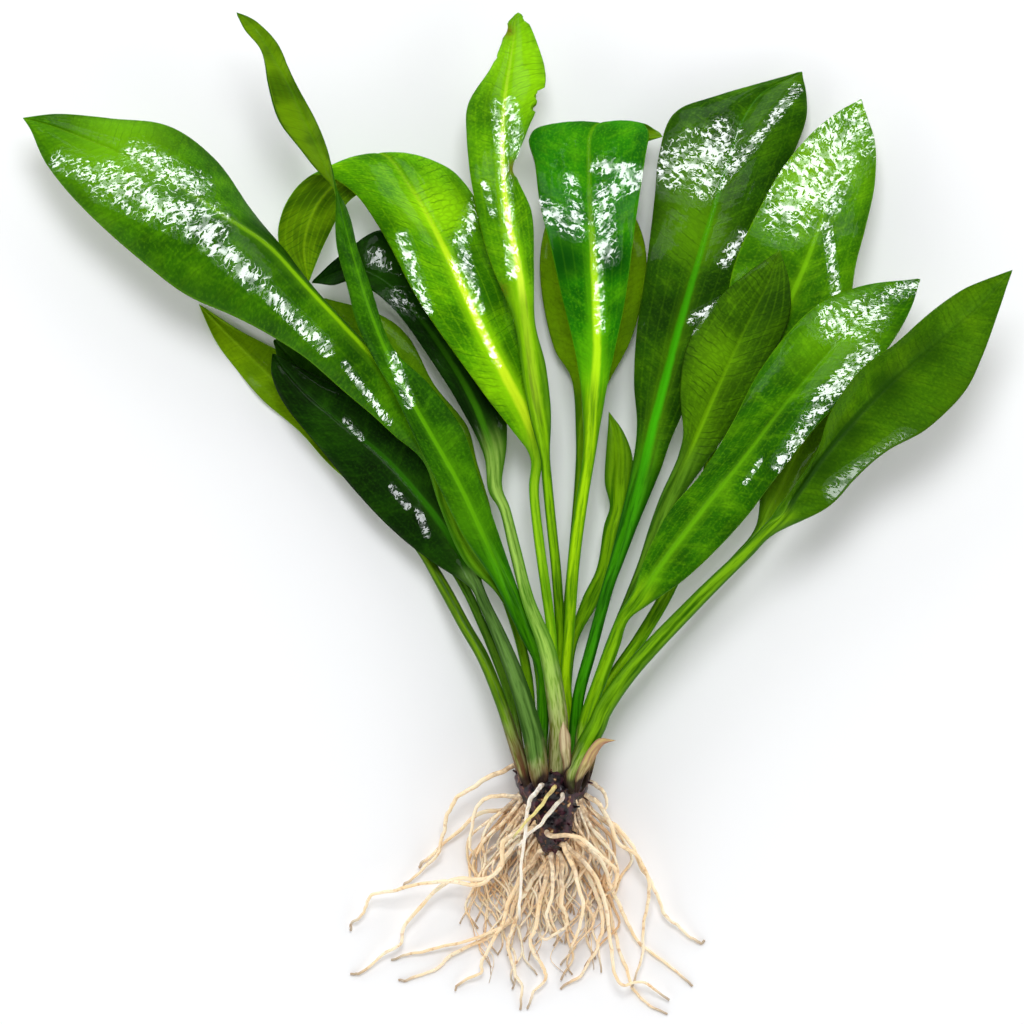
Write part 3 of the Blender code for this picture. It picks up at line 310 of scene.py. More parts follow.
            (1.8, 34.9, 0.6, 7.2, 35.0, 6.7, 12.8, 35.5, 0.5),
            (1.2, 37.7, 0.2, 7.3, 37.9, 6.0, 13.2, 38.1, 0.1),
            (2.8, 39.0, -0.2, 8.3, 39.2, 5.4, 12.8, 39.2, 0.0),
            (6.8, 37.3, 0.0, 10.5, 38.3, 4.9, 13.8, 38.6, 0.0),
            (10.8, 36.9, 0.0, 12.8, 37.8, 4.7, 14.3, 38.3, 0.0),
        ],
        "tip": (14.6, 37.9, 4.6),
    },
    "leaf_olive_back": {
        "face": 1,
        "petiole": [
            (3.4, -26.0, 1.7, 0.65),
            (4.7, -13.5, 1.5, 0.50),
            (5.6, -4.5, 1.4, 0.50),
            (6.3, 3.5, 1.5, 0.50),
        ],
        "blade": [
            (5.9, 8.3, 0.0, 6.6, 8.3, 1.7, 7.3, 8.3, 0.0),
            (5.5, 13.5, 0.1, 7.5, 12.7, 1.8, 8.9, 12.7, 0.1),
            (3.7, 16.8, 0.2, 7.7, 17.3, 1.8, 11.4, 17.5, 0.2),
            (2.6, 21.5, 0.3, 7.7, 21.7, 1.7, 12.7, 22.3, 0.3),
            (2.3, 25.7, 0.3, 7.6, 25.9, 1.5, 13.0, 25.9, 0.3),
            (3.0, 29.5, 0.2, 7.5, 29.9, 1.1, 12.2, 29.3, 0.2),
            (4.6, 32.5, 0.1, 7.3, 32.9, 0.7, 10.1, 32.5, 0.1),
        ],
        "tip": (7.1, 35.5, 0.2),
    },
    "leaf_young": {
        "face": 1,
        "petiole": [
            (4.6, -26.0, 2.8, 0.60),
            (4.9, -18.5, 3.0, 0.50),
            (5.6, -12.8, 3.2, 0.45),
        ],
        "blade": [
            (6.5, -8.5, 0.0, 7.2, -8.8, 3.3, 8.0, -9.1, 0.0),
            (8.0, -5.3, 0.1, 8.6, -5.6, 3.3, 9.3, -5.9, 0.1),
            (8.7, -1.2, 0.1, 9.4, -1.5, 3.3, 10.2, -1.9, 0.2),
            (9.3, 0.9, 0.1, 10.0, 0.6, 3.2, 10.7, 0.2, 0.1),
            (8.8, 3.2, 0.1, 10.1, 3.2, 3.2, 11.4, 3.0, 0.2),
            (8.9, 6.0, 0.1, 10.2, 6.0, 3.1, 11.6, 5.7, 0.1),
            (9.1, 8.5, 0.0, 9.9, 8.5, 3.0, 10.7, 8.3, 0.0),
        ],
        "tip": (9.2, 10.4, 2.9),
    },
    "leaf_broad_right": {
        "face": 1,
        "petiole": [
            (5.6, -26.0, 5.0, 0.70),
            (5.9, -20.5, 5.7, 0.60),
            (6.3, -17.5, 5.8, 0.60),
            (7.4, -13.5, 5.9, 0.60),
            (9.0, -7.5, 5.9, 0.60),
            (10.0, -4.5, 5.8, 0.70),
        ],
        "blade": [
            (10.3, -0.5, 0.0, 11.2, -0.5, 5.6, 12.3, -0.5, 0.0),
            (11.5, 4.8, 0.0, 12.5, 4.5, 5.5, 14.3, 4.3, 0.0),
            (12.0, 9.0, 0.0, 13.5, 8.5, 5.4, 15.5, 7.7, 0.0),
            (11.7, 13.5, 0.1, 14.7, 13.0, 5.4, 17.5, 12.1, 0.0),
            (12.0, 18.7, 0.2, 16.0, 18.0, 5.3, 19.8, 17.0, 0.1),
            (12.7, 23.2, 0.2, 17.3, 22.5, 5.2, 21.8, 21.5, 0.1),
            (13.3, 27.7, 0.2, 18.6, 27.0, 4.9, 23.6, 26.0, 0.1),
            (13.8, 32.0, 0.2, 19.9, 31.3, 4.4, 25.5, 30.7, 0.2),
            (14.2, 36.0, 0.2, 21.2, 35.5, 3.8, 27.2, 35.0, 0.2),
            (15.7, 40.2, 0.1, 22.7, 39.7, 3.2, 28.9, 39.3, 0.1),
            (20.1, 42.1, 0.0, 24.8, 42.5, 2.7, 29.1, 41.9, 0.0),
        ],
        "tip": (28.6, 44.5, 2.4),
    },
    "leaf_pointed_right": {
        "face": 1,
        "petiole": [
            (5.4, -26.0, 1.7, 0.65),
            (8.3, -18.5, 2.2, 0.60),
            (12.4, -12.3, 3.0, 0.65),
            (15.2, -7.5, 3.6, 0.65),
            (18.3, -0.5, 4.3, 0.55),
        ],
        "blade": [
            (19.2, 8.4, 0.0, 19.8, 8.0, 4.8, 20.4, 7.6, 0.0),
            (20.7, 14.7, 0.1, 22.8, 13.0, 5.5, 25.1, 11.3, 0.1),
            (21.1, 20.0, 0.2, 25.3, 17.5, 6.1, 30.9, 16.0, 0.1),
            (21.3, 23.4, 0.2, 27.3, 21.5, 6.5, 33.1, 20.7, 0.1),
            (22.2, 26.4, 0.2, 29.1, 25.7, 6.5, 33.9, 25.1, 0.1),
            (23.9, 30.0, 0.2, 30.5, 29.7, 6.1, 34.9, 28.9, 0.1),
            (26.4, 34.5, 0.1, 31.6, 33.5, 5.4, 35.8, 33.0, 0.1),
            (29.4, 38.1, 0.1, 32.6, 37.0, 4.7, 35.9, 36.9, 0.1),
            (32.3, 40.5, 0.0, 33.7, 39.8, 4.2, 35.2, 39.7, 0.0),
        ],
        "tip": (34.5, 41.7, 3.9),
    },
    "leaf_dark_right": {
        "face": 1,
        "petiole": [
            (6.3, -26.0, 2.8, 0.65),
            (7.6, -18.5, 3.2, 0.50),
            (9.2, -13.5, 3.6, 0.50),
            (11.2, -8.5, 4.4, 0.50),
            (12.6, -4.9, 5.0, 0.50),
        ],
        "blade": [
            (13.2, -1.3, 0.0, 13.9, -1.5, 5.6, 14.6, -1.8, 0.0),
            (14.3, 1.8, 0.0, 15.1, 1.5, 6.0, 16.2, 1.3, 0.0),
            (16.5, 7.2, 0.1, 17.3, 6.5, 6.5, 19.1, 5.5, 0.0),
            (16.3, 12.3, 0.2, 19.5, 11.5, 6.9, 22.7, 10.7, 0.0),
            (17.0, 17.0, 0.2, 21.8, 16.5, 7.2, 25.5, 15.8, 0.1),
            (19.5, 21.0, 0.1, 23.5, 20.0, 7.4, 27.2, 19.7, 0.1),
            (23.0, 24.2, 0.0, 25.1, 23.2, 7.5, 27.2, 23.3, 0.0),
        ],
        "tip": (26.3, 26.5, 7.6),
    },
    "leaf_glossy_right": {
        "face": 1,
        "petiole": [
            (6.6, -26.0, 6.1, 0.70),
            (6.6, -21.5, 6.2, 0.65),
            (8.3, -16.5, 6.5, 0.70),
            (9.6, -13.0, 6.8, 0.70),
            (10.6, -10.3, 7.1, 0.60),
        ],
        "blade": [
            (11.6, -7.6, 0.0, 12.0, -8.5, 7.4, 13.1, -9.0, 0.0),
            (12.6, -4.7, 0.1, 14.5, -4.7, 8.0, 16.9, -6.3, 0.0),
            (15.0, 0.1, 0.2, 18.3, 0.3, 8.5, 21.8, -1.5, 0.0),
            (18.3, 4.1, 0.3, 22.3, 5.3, 8.9, 25.1, 2.7, 0.0),
            (21.2, 8.7, 0.3, 25.8, 9.9, 9.1, 29.1, 7.9, 0.0),
            (24.0, 14.1, 0.3, 28.9, 13.7, 8.9, 32.9, 12.1, 0.0),
            (27.5, 18.7, 0.3, 31.8, 17.0, 8.4, 35.9, 15.2, 0.0),
            (30.8, 21.5, 0.2, 34.5, 19.7, 7.8, 37.9, 17.9, 0.0),
            (34.9, 23.0, 0.0, 37.3, 21.8, 7.3, 39.4, 20.7, 0.0),
        ],
        "tip": (40.3, 23.6, 7.0),
    },
    "leaf_hidden_right": {
        "face": 1,
        "petiole": [
            (6.9, -26.0, 3.9, 0.60),
            (8.9, -18.8, 4.6, 0.55),
            (12.2, -14.4, 4.8, 0.50),
            (18.0, -8.4, 4.6, 0.50),
            (22.0, -4.4, 4.2, 0.50),
        ],
        "blade": [
            (23.9, -1.2, 0.0, 24.4, -1.6, 3.6, 24.9, -2.0, 0.0),
            (24.5, 2.6, 0.1, 26.2, 1.9, 3.0, 27.4, 1.0, 0.1),
            (25.6, 6.9, 0.2, 28.1, 5.8, 2.2, 29.8, 4.9, 0.2),
            (27.3, 10.7, 0.2, 30.3, 10.0, 1.4, 32.9, 9.1, 0.2),
            (30.3, 14.1, 0.1, 32.5, 13.3, 0.7, 34.3, 12.5, 0.1),
        ],
        "tip": (34.9, 16.5, 0.2),
    },
    "leaf_far_right": {
        "face": -1,
        "petiole": [
            (5.6, -26.0, 7.2, 0.90),
            (6.8, -23.3, 7.3, 1.00),
            (8.0, -21.0, 7.4, 0.95),
            (8.9, -19.0, 7.6, 0.90),
            (12.0, -14.8, 8.1, 0.85),
            (18.3, -8.2, 8.8, 0.75),
            (22.8, -3.8, 9.5, 0.65),
        ],
        "blade": [
            (24.8, -0.8, 0.0, 25.2, -1.3, 10.0, 25.7, -1.9, 0.0),
            (27.3, 2.2, 1.0, 27.7, 2.0, 10.4, 30.6, 0.5, -0.2),
            (29.9, 6.3, 1.5, 30.3, 5.8, 10.8, 33.6, 3.5, -0.3),
            (31.2, 10.3, 1.2, 33.1, 9.1, 11.2, 37.1, 6.5, -0.3),
            (34.0, 14.3, 0.8, 36.5, 12.7, 11.5, 41.0, 8.7, -0.2),
            (37.4, 16.9, 0.4, 40.1, 15.8, 11.8, 44.5, 12.2, -0.1),
            (40.8, 19.9, 0.2, 43.3, 18.5, 12.0, 46.4, 16.0, 0.0),
            (44.1, 22.3, 0.0, 46.1, 21.0, 12.1, 47.8, 19.9, 0.0),
            (46.5, 23.4, 0.0, 47.8, 22.8, 12.2, 48.6, 22.3, 0.0),
        ],
        "tip": (49.3, 24.4, 12.2),
    },
    "sheath_front": {
        "face": 1,
        "petiole": [
            (5.0, -25.0, 7.9, 0.40),
        ],
        "blade": [
            (4.3, -23.6, 0.0, 4.9, -23.6, 7.9, 5.4, -23.6, 0.0),
            (4.2, -22.0, 0.0, 4.8, -22.0, 7.9, 5.3, -22.0, 0.0),
        ],
        "tip": (4.6, -20.6, 7.8),
    },
    "sheath_right": {
        "face": 1,
        "petiole": [
            (6.3, -26.0, 8.8, 0.45),
        ],
        "blade": [
            (6.3, -24.9, 0.0, 6.8, -25.1, 8.8, 7.3, -25.3, 0.0),
            (7.1, -23.4, 0.0, 7.5, -23.6, 8.7, 8.0, -23.9, 0.0),
            (8.2, -22.3, 0.0, 8.5, -22.6, 8.5, 8.7, -22.9, 0.0),
        ],
        "tip": (9.9, -22.5, 8.1),
    },
}

# Each root: the points that its middle passes through, from the crown out.
ROOTS = {
    "root_upper_left": [
        (-0.75, -25.3, 4.5), (-3.5, -26.7, 4.0), (-6.0, -28.4, 3.4), (-7.0, -30.2, 2.8), (-7.5, -32.4, 2.2),
        (-8.3, -34.5, 1.5), (-10.9, -36.8, 0.8), (-11.5, -37.4, 0.5),
    ],
    "root_left_hook": [
        (-0.2, -28.2, 5.0), (-2.7, -28.2, 4.7), (-4.2, -29.7, 4.2), (-4.7, -33.0, 3.4), (-4.2, -34.5, 3.0),
    ],
    "root_left_slant": [
        (0.2, -29.4, 2.4), (-3.7, -30.0, 1.8), (-6.7, -32.5, 1.0), (-9.2, -34.7, 0.6), (-9.9, -35.4, 0.5),
    ],
    "root_far_left_upper": [
        (1.2, -31.4, 5.4), (-1.2, -32.5, 5.0), (-1.7, -35.3, 4.6), (-3.9, -37.0, 4.2), (-7.7, -36.7, 3.6),
        (-11.7, -37.5, 2.8), (-14.7, -38.3, 1.8), (-15.3, -39.8, 1.2), (-16.6, -41.1, 0.7), (-16.7, -41.8, 0.45),
    ],
    "root_far_left_lower": [
        (1.0, -31.8, 3.5), (-1.0, -34.0, 3.2), (-2.7, -36.3, 2.9), (-6.7, -36.7, 2.4), (-9.2, -38.8, 1.9),
        (-11.4, -41.5, 1.5), (-11.6, -43.0, 1.3), (-13.2, -44.0, 1.1), (-15.7, -46.0, 0.5), (-16.7, -46.1, 0.3),
    ],
    "root_left_low_a": [
        (1.8, -33.4, 2.6), (0.4, -36.5, 2.0), (-0.2, -39.0, 1.9), (-1.7, -41.5, 1.6), (-6.7, -43.2, 1.1),
        (-10.2, -44.0, 0.6), (-12.7, -44.7, 0.3),
    ],
    "root_left_low_b": [
        (2.4, -33.9, 1.6), (1.6, -37.0, 1.1), (0.3, -40.0, 1.0), (-2.7, -42.3, 0.85), (-6.7, -44.3, 0.5),
        (-7.9, -45.5, 0.4), (-10.9, -46.7, 0.3), (-11.9, -46.8, 0.3),
    ],
    "root_low_left": [
        (2.2, -33.9, 4.0), (0.6, -36.0, 3.2), (-0.7, -38.5, 2.9), (-1.7, -41.5, 2.5), (-3.4, -44.5, 1.6),
        (-3.7, -46.0, 1.1), (-5.7, -47.0, 0.6), (-6.2, -47.8, 0.4),
    ],
    "root_low_centre_a": [
        (3.0, -34.5, 2.6), (1.4, -37.0, 2.3), (0.3, -38.8, 2.4), (-0.2, -41.0, 2.4), (-0.9, -43.0, 1.7),
        (-0.2, -46.0, 1.1), (0.5, -47.5, 0.7), (0.3, -49.7, 0.3),
    ],
    "root_low_centre_b": [
        (3.4, -34.7, 3.6), (2.6, -37.5, 3.2), (1.8, -41.5, 2.4), (1.3, -43.0, 2.0), (2.5, -45.3, 1.4),
        (2.9, -46.5, 1.1), (1.6, -48.1, 0.7), (1.1, -49.7, 0.3),
    ],
    "root_loop": [
        (4.4, -34.3, 4.4), (4.5, -36.5, 4.4), (4.5, -39.0, 4.1), (5.0, -40.3, 3.8), (4.6, -41.5, 3.5),
        (2.8, -42.5, 3.2), (1.9, -41.6, 3.4),
    ],
    "root_low_right": [
        (5.2, -33.8, 2.2), (7.3, -36.5, 1.9), (8.6, -40.5, 1.7), (8.3, -42.5, 1.5), (7.8, -44.0, 1.2),
        (6.3, -46.3, 0.7), (4.3, -47.6, 0.3),
    ],
    "root_short_right": [
        (7.6, -26.9, 3.6), (8.4, -27.5, 3.4), (9.0, -28.5, 3.2), (8.7, -30.0, 3.0),
    ],
    "root_right_a": [
        (7.4, -28.3, 4.6), (8.8, -29.8, 4.4), (10.1, -32.7, 3.8), (12.3, -34.5, 3.2), (13.3, -37.5, 2.6),
        (12.8, -40.5, 2.0), (12.5, -44.5, 1.4), (11.5, -47.5, 1.1),
    ],
    "root_right_b": [
        (6.9, -29.6, 2.6), (9.1, -30.7, 2.5), (11.1, -32.5, 2.3), (12.6, -35.5, 1.9), (13.8, -37.5, 1.6),
        (14.8, -40.0, 1.2), (16.6, -41.7, 0.8), (18.3, -43.0, 0.4), (18.8, -42.8, 0.3),
    ],
    "root_right_c": [
        (5.7, -32.4, 3.3), (8.3, -34.5, 3.0), (9.5, -37.5, 2.4), (10.9, -40.5, 1.3), (12.3, -43.0, 0.6),
        (15.3, -45.3, 0.4), (17.6, -47.3, 0.3),
    ],
    "root_right_d": [
        (5.2, -33.3, 4.4), (8.0, -36.5, 3.9), (9.1, -40.5, 3.2), (9.5, -44.0, 2.7), (10.3, -47.0, 2.2),
        (12.8, -47.0, 1.5), (15.3, -48.8, 0.6),
    ],
    "root_right_e": [
        (5.6, -33.8, 1.2), (8.4, -37.5, 0.9), (9.6, -41.0, 0.5), (10.1, -43.0, 0.5), (11.1, -46.0, 0.4),
        (12.3, -48.5, 0.35), (15.1, -50.2, 0.3),
    ],
    "root_front_white": [
        (2.3, -27.2, 7.7), (1.3, -28.5, 7.3), (1.0, -30.0, 7.0), (0.5, -34.5, 6.3), (0.3, -38.5, 5.5),
        (0.2, -41.0, 4.6),
    ],
    "root_front_yellow": [
        (3.6, -27.4, 7.9), (1.8, -29.7, 8.0), (-0.5, -32.3, 7.7),
    ],
    "root_front_short": [
        (4.5, -28.2, 7.6), (2.5, -30.7, 6.9), (0.8, -32.3, 5.9), (-0.3, -33.5, 5.8),
    ],
    "root_front_right": [
        (3.2, -32.0, 6.3), (6.3, -32.3, 6.4), (8.3, -34.0, 5.8), (9.9, -35.5, 5.2), (9.9, -37.0, 4.8),
        (9.1, -38.0, 4.5),
    ],
    "root_middle_a": [
        (3.4, -34.5, 5.2), (3.6, -37.5, 5.2), (3.0, -40.0, 4.8), (3.4, -42.0, 4.3),
    ],
    "root_middle_b": [
        (4.8, -33.4, 5.4), (6.0, -36.5, 5.4), (6.6, -39.5, 4.9), (6.0, -42.0, 4.2), (5.2, -44.0, 3.2),
    ],
}

# The colours of each leaf, as red, green and blue out of 255: the blade's body, its light and its dark parts, and its
# midrib. Then how far the light spreads from the midrib, how strongly the veins show, and the kind of material.
# Where the areas below call for it, the light and the dark colours also carry painted light and shade.
LOOKS = {
    "leaf_long_left": ((54, 114, 1), (108, 174, 4), (12, 52, 1), (160, 220, 14), 0.5, 0.3, "leaf"),
    "leaf_back_left": ((112, 156, 2), (140, 184, 4), (66, 106, 1), (120, 160, 10), 0.1, 0.4, "olive_leaf"),
    "leaf_dark_left": ((11, 47, 2), (44, 96, 3), (3, 18, 1), (44, 110, 4), 0.3, 0.35, "dark_leaf"),
    "leaf_narrow_left": ((28, 70, 2), (64, 116, 3), (10, 38, 1), (56, 112, 4), 0.3, 0.3, "dark_leaf"),
    "leaf_twisted": ((38, 94, 1), (92, 164, 4), (12, 50, 1), (96, 166, 6), 0.3, 0.3, "leaf"),
    "leaf_yellow_back": ((84, 130, 1), (118, 168, 4), (50, 90, 1), (106, 156, 6), 0.3, 0.3, "olive_leaf"),
    "leaf_arched": ((88, 162, 2), (150, 218, 5), (22, 84, 1), (214, 248, 34), 0.75, 0.7, "leaf"),
    "leaf_shaded": ((8, 44, 2), (38, 90, 3), (2, 18, 1), (60, 124, 8), 0.3, 0.3, "dark_leaf"),
    "leaf_torn": ((78, 146, 2), (144, 212, 6), (30, 84, 1), (214, 246, 60), 0.7, 0.5, "leaf"),
    "leaf_centre": ((34, 124, 1), (106, 192, 4), (4, 66, 1), (190, 240, 24), 0.6, 0.3, "leaf"),
    "leaf_olive_back": ((116, 162, 1), (130, 180, 4), (50, 90, 1), (104, 152, 6), 0.1, 0.35, "olive_leaf"),
    "leaf_young": ((88, 132, 2), (120, 172, 4), (50, 88, 1), (114, 166, 6), 0.3, 0.3, "leaf"),
    "leaf_broad_right": ((38, 86, 1), (94, 152, 3), (12, 44, 1), (66, 176, 6), 0.35, 0.5, "leaf"),
    "leaf_pointed_right": ((66, 130, 1), (132, 196, 10), (26, 76, 1), (134, 204, 14), 0.35, 0.4, "leaf"),
    "leaf_dark_right": ((54, 98, 2), (100, 156, 3), (18, 50, 1), (116, 172, 6), 0.35, 0.8, "dark_leaf"),
    "leaf_glossy_right": ((44, 108, 1), (118, 186, 6), (14, 60, 1), (100, 168, 8), 0.3, 0.4, "leaf"),
    "leaf_hidden_right": ((62, 100, 1), (92, 138, 3), (34, 62, 1), (86, 126, 4), 0.2, 0.3, "olive_leaf"),
    "leaf_far_right": ((62, 112, 2), (98, 148, 3), (20, 56, 1), (26, 64, 2), 0.0, 0.4, "olive_leaf"),
    "sheath_front": ((190, 160, 120), (226, 212, 176), (126, 84, 62), (206, 190, 130), 0.2, 0.6, "sheath"),
    "sheath_right": ((170, 128, 108), (218, 196, 166), (118, 74, 72), (176, 164, 60), 0.2, 0.8, "sheath"),
}
# The light and the dark green of the petioles of each kind of leaf, and of the leaves that differ from their kind.
# The dark green also lays painted shade down a petiole's round sides.
STALKS = {
    "leaf": ((132, 186, 14), (48, 104, 2)), "dark_leaf": ((96, 144, 30), (40, 82, 8)),
    "olive_leaf": ((112, 162, 12), (54, 102, 4)), "sheath_front": ((212, 198, 156), (146, 116, 88)),
    "sheath_right": ((200, 176, 112), (150, 106, 88)),
    "leaf_dark_left": ((98, 136, 60), (34, 66, 14)), "leaf_shaded": ((158, 198, 84), (62, 116, 14)),
    "leaf_broad_right": ((60, 146, 6), (16, 76, 2)), "leaf_arched": ((150, 204, 26), (84, 146, 6)),
    "leaf_centre": ((162, 212, 12), (62, 122, 2)), "leaf_twisted": ((70, 146, 6), (24, 84, 2)),
    "leaf_long_left": ((104, 160, 18), (44, 94, 4)), "leaf_torn": ((130, 186, 10), (42, 94, 2)),
    "leaf_far_right": ((116, 168, 16), (44, 92, 2)), "leaf_back_left": ((104, 146, 16), (46, 84, 4)),
}
# How strongly the foot of a petiole is darkened with brown: stains on most, and on leaf_back_left also painted shade
# in the gap between the feet.
FOOT_STAINS_AND_SHADE = {"leaf_back_left": 1.0, "leaf_dark_left": 0.7, "leaf_far_right": 0.3, "leaf_shaded": 0.3}
# How many millimetres a petiole's pale foot reaches up, and how pale it is, where they aren't as on most.
FEET = {
    "leaf_shaded": (62, 0.75), "leaf_dark_left": (29, 0.45), "leaf_back_left": (46, 0.5),
    "leaf_glossy_right": (35, 0.55), "leaf_far_right": (28, 0.4), "leaf_long_left": (44, 0.5),
    "leaf_torn": (44, 0.5), "leaf_centre": (38, 0.5), "leaf_narrow_left": (40, 0.4),
}
# Down the foot of a petiole: pale, brownish, the brown of its stains, and dark where it meets the crown. That brown
# also lays painted shade on the foot's sides and on leaf_back_left's foot.
FOOT_COLOURS = ((218, 214, 154), (128, 140, 52), (92, 56, 38), (36, 16, 24))
# Torn and brown edges.
WORN = (112, 84, 14)
# How much wider or narrower than most a leaf's midrib is.
RIB_SCALE = {
    "leaf_arched": 1.4, "leaf_torn": 1.3, "leaf_centre": 1.4, "leaf_long_left": 1.1, "leaf_broad_right": 1.3,
    "leaf_twisted": 0.7, "leaf_glossy_right": 0.9, "leaf_dark_right": 0.8,
}
# From where to where along a blade the midrib fades out, where it isn't as most do.
RIB_FADES = {"leaf_arched": (0.3, 0.62), "leaf_centre": (0.35, 0.62), "leaf_torn": (0.5, 1.0)}
# How far the left and the right half of a blade swell, and how far their margins droop, where they don't as most do.
SWELLS = {"leaf_long_left": (0.14, 0.03)}
DROOPS = {"leaf_long_left": (0.0, 0.2), "leaf_torn": (0.2, 0.2), "leaf_broad_right": (0.0, 0.12)}
# Tears in the margins: x, y, radius in squares, and how deep towards the midrib. Then brown spots, with their strength.
NICKS = {
    "leaf_torn": [(2.7, 41.8, 0.8, 0.4), (1.9, 40.8, 0.5, 0.2), (-0.9, 48.4, 0.8, 0.5), (1.1, 49.8, 0.5, 0.5),
                  (-0.2, 34.6, 1.0, 0.3), (-2.2, 45.7, 0.3, 0.15)],
}
SPOTS = {
    "leaf_torn": [(-1.6, 22.4, 1.0, 0.3)],
}

# Light and dark areas of the leaves: partly their own tone, partly painted light and shade, such as the round shadow
# and darker right half of leaf_arched, the steep shaded upper half of leaf_long_left and the dark band along
# leaf_far_right's midrib. Each is x, y, radius in squares, and how far they turn light (above 0) or dark.
TONE_LIGHT_AND_SHADE = {
    "leaf_long_left": [
        (-39.7, 36.5, 6.0, 0.75), (-21.7, 25.3, 4.0, -0.6), (-25.5, 28.7, 2.8, -0.55),
        (-16.7, 16.5, 3.2, -0.5), (-6.2, -0.5, 5.0, 0.5), (-30.7, 22.5, 5.0, -0.35),
        (-18.7, 7.5, 4.0, 0.35),
    ],
    "leaf_arched": [
        (-3.0, 12.3, 3.0, 0.6), (-13.9, 32.5, 4.0, -0.2), (-6.5, 29.8, 3.0, 0.45),
        (-5.2, 25.3, 2.2, -0.75), (-2.5, 21.5, 2.0, -0.7), (-0.9, 16.5, 1.4, -0.6), (-9.7, 31.0, 3.6, 0.6),
        (-10.2, 26.5, 2.2, -0.3), (-6.2, 18.5, 2.2, -0.35), (-20.5, 31.5, 2.0, -0.5),
    ],
    "leaf_torn": [
        (0.8, 45.5, 5.0, 0.7), (1.5, 41.5, 2.6, 0.3), (-3.0, 31.5, 2.5, -0.35), (-2.2, 25.5, 2.0, -0.3),
        (0.5, 20.5, 3.0, 0.5),
    ],
    "leaf_centre": [
        (4.5, 25.3, 2.6, -0.9), (4.8, 29.0, 1.8, -0.5), (9.7, 25.3, 2.2, -0.8), (10.1, 20.5, 1.6, -0.5),
        (7.1, 37.5, 4.0, 0.15), (7.1, 13.5, 4.0, 0.5),
    ],
    "leaf_broad_right": [
        (17.5, 34.5, 4.0, 0.45), (15.1, 21.5, 5.0, -0.5), (14.3, 11.5, 4.0, -0.3), (24.8, 38.5, 4.0, 0.2), (27.8, 36.0, 2.2, -0.5),
        (20.3, 21.5, 3.0, -0.3), (17.5, 27.5, 4.2, 0.75),
    ],
    "leaf_pointed_right": [
        (29.5, 34.5, 6.0, 0.6), (27.3, 22.5, 4.0, -0.2), (33.8, 29.5, 3.0, -0.5),
    ],
    "leaf_glossy_right": [
        (32.8, 18.5, 5.0, 0.55), (22.3, 8.5, 3.0, -0.3), (17.3, -0.5, 4.0, -0.2), (28.3, 15.5, 3.0, 0.2),
    ],
    "leaf_dark_left": [
        (-21.7, 13.5, 3.0, -0.5), (-9.7, 0.5, 4.0, -0.4), (-17.2, 8.5, 2.4, 0.3), (-7.7, -4.0, 3.0, 0.3),
    ],
    "leaf_shaded": [
        (-3.7, 11.5, 3.0, -0.7), (-13.2, 25.3, 3.0, 0.5), (-9.7, 21.5, 2.4, 0.3),
    ],
    "leaf_far_right": [
        (40.8, 16.5, 2.6, -0.6), (36.8, 13.0, 2.6, -0.7), (33.3, 8.5, 2.6, -0.7), (30.3, 4.5, 2.2, -0.6),
        (43.3, 13.0, 2.6, 0.3), (37.3, 6.5, 2.4, 0.35), (44.3, 20.5, 3.0, 0.25), (32.8, 13.0, 2.6, 0.4),
    ],
    "leaf_twisted": [
        (-4.7, -0.5, 4.4, 0.4), (-6.7, 7.5, 2.0, 0.3), (-10.7, 9.5, 2.0, -0.4), (-17.7, 32.5, 3.0, -0.4),
        (-23.9, 43.5, 4.0, -0.5),
    ],
    "leaf_dark_right": [
        (20.3, 16.5, 3.0, 0.7), (25.3, 21.5, 3.4, -0.5), (24.8, 17.5, 2.4, -0.3), (18.3, 9.5, 3.0, 0.5),
        (18.9, 13.5, 2.0, 0.3),
    ],
    "leaf_back_left": [
        (-30.2, 19.0, 3.0, 0.5), (-24.7, 11.5, 4.0, -0.2),
    ],
    "leaf_olive_back": [
        (12.3, 18.5, 3.0, -0.3), (3.9, 17.5, 2.0, 0.2),
    ],
}

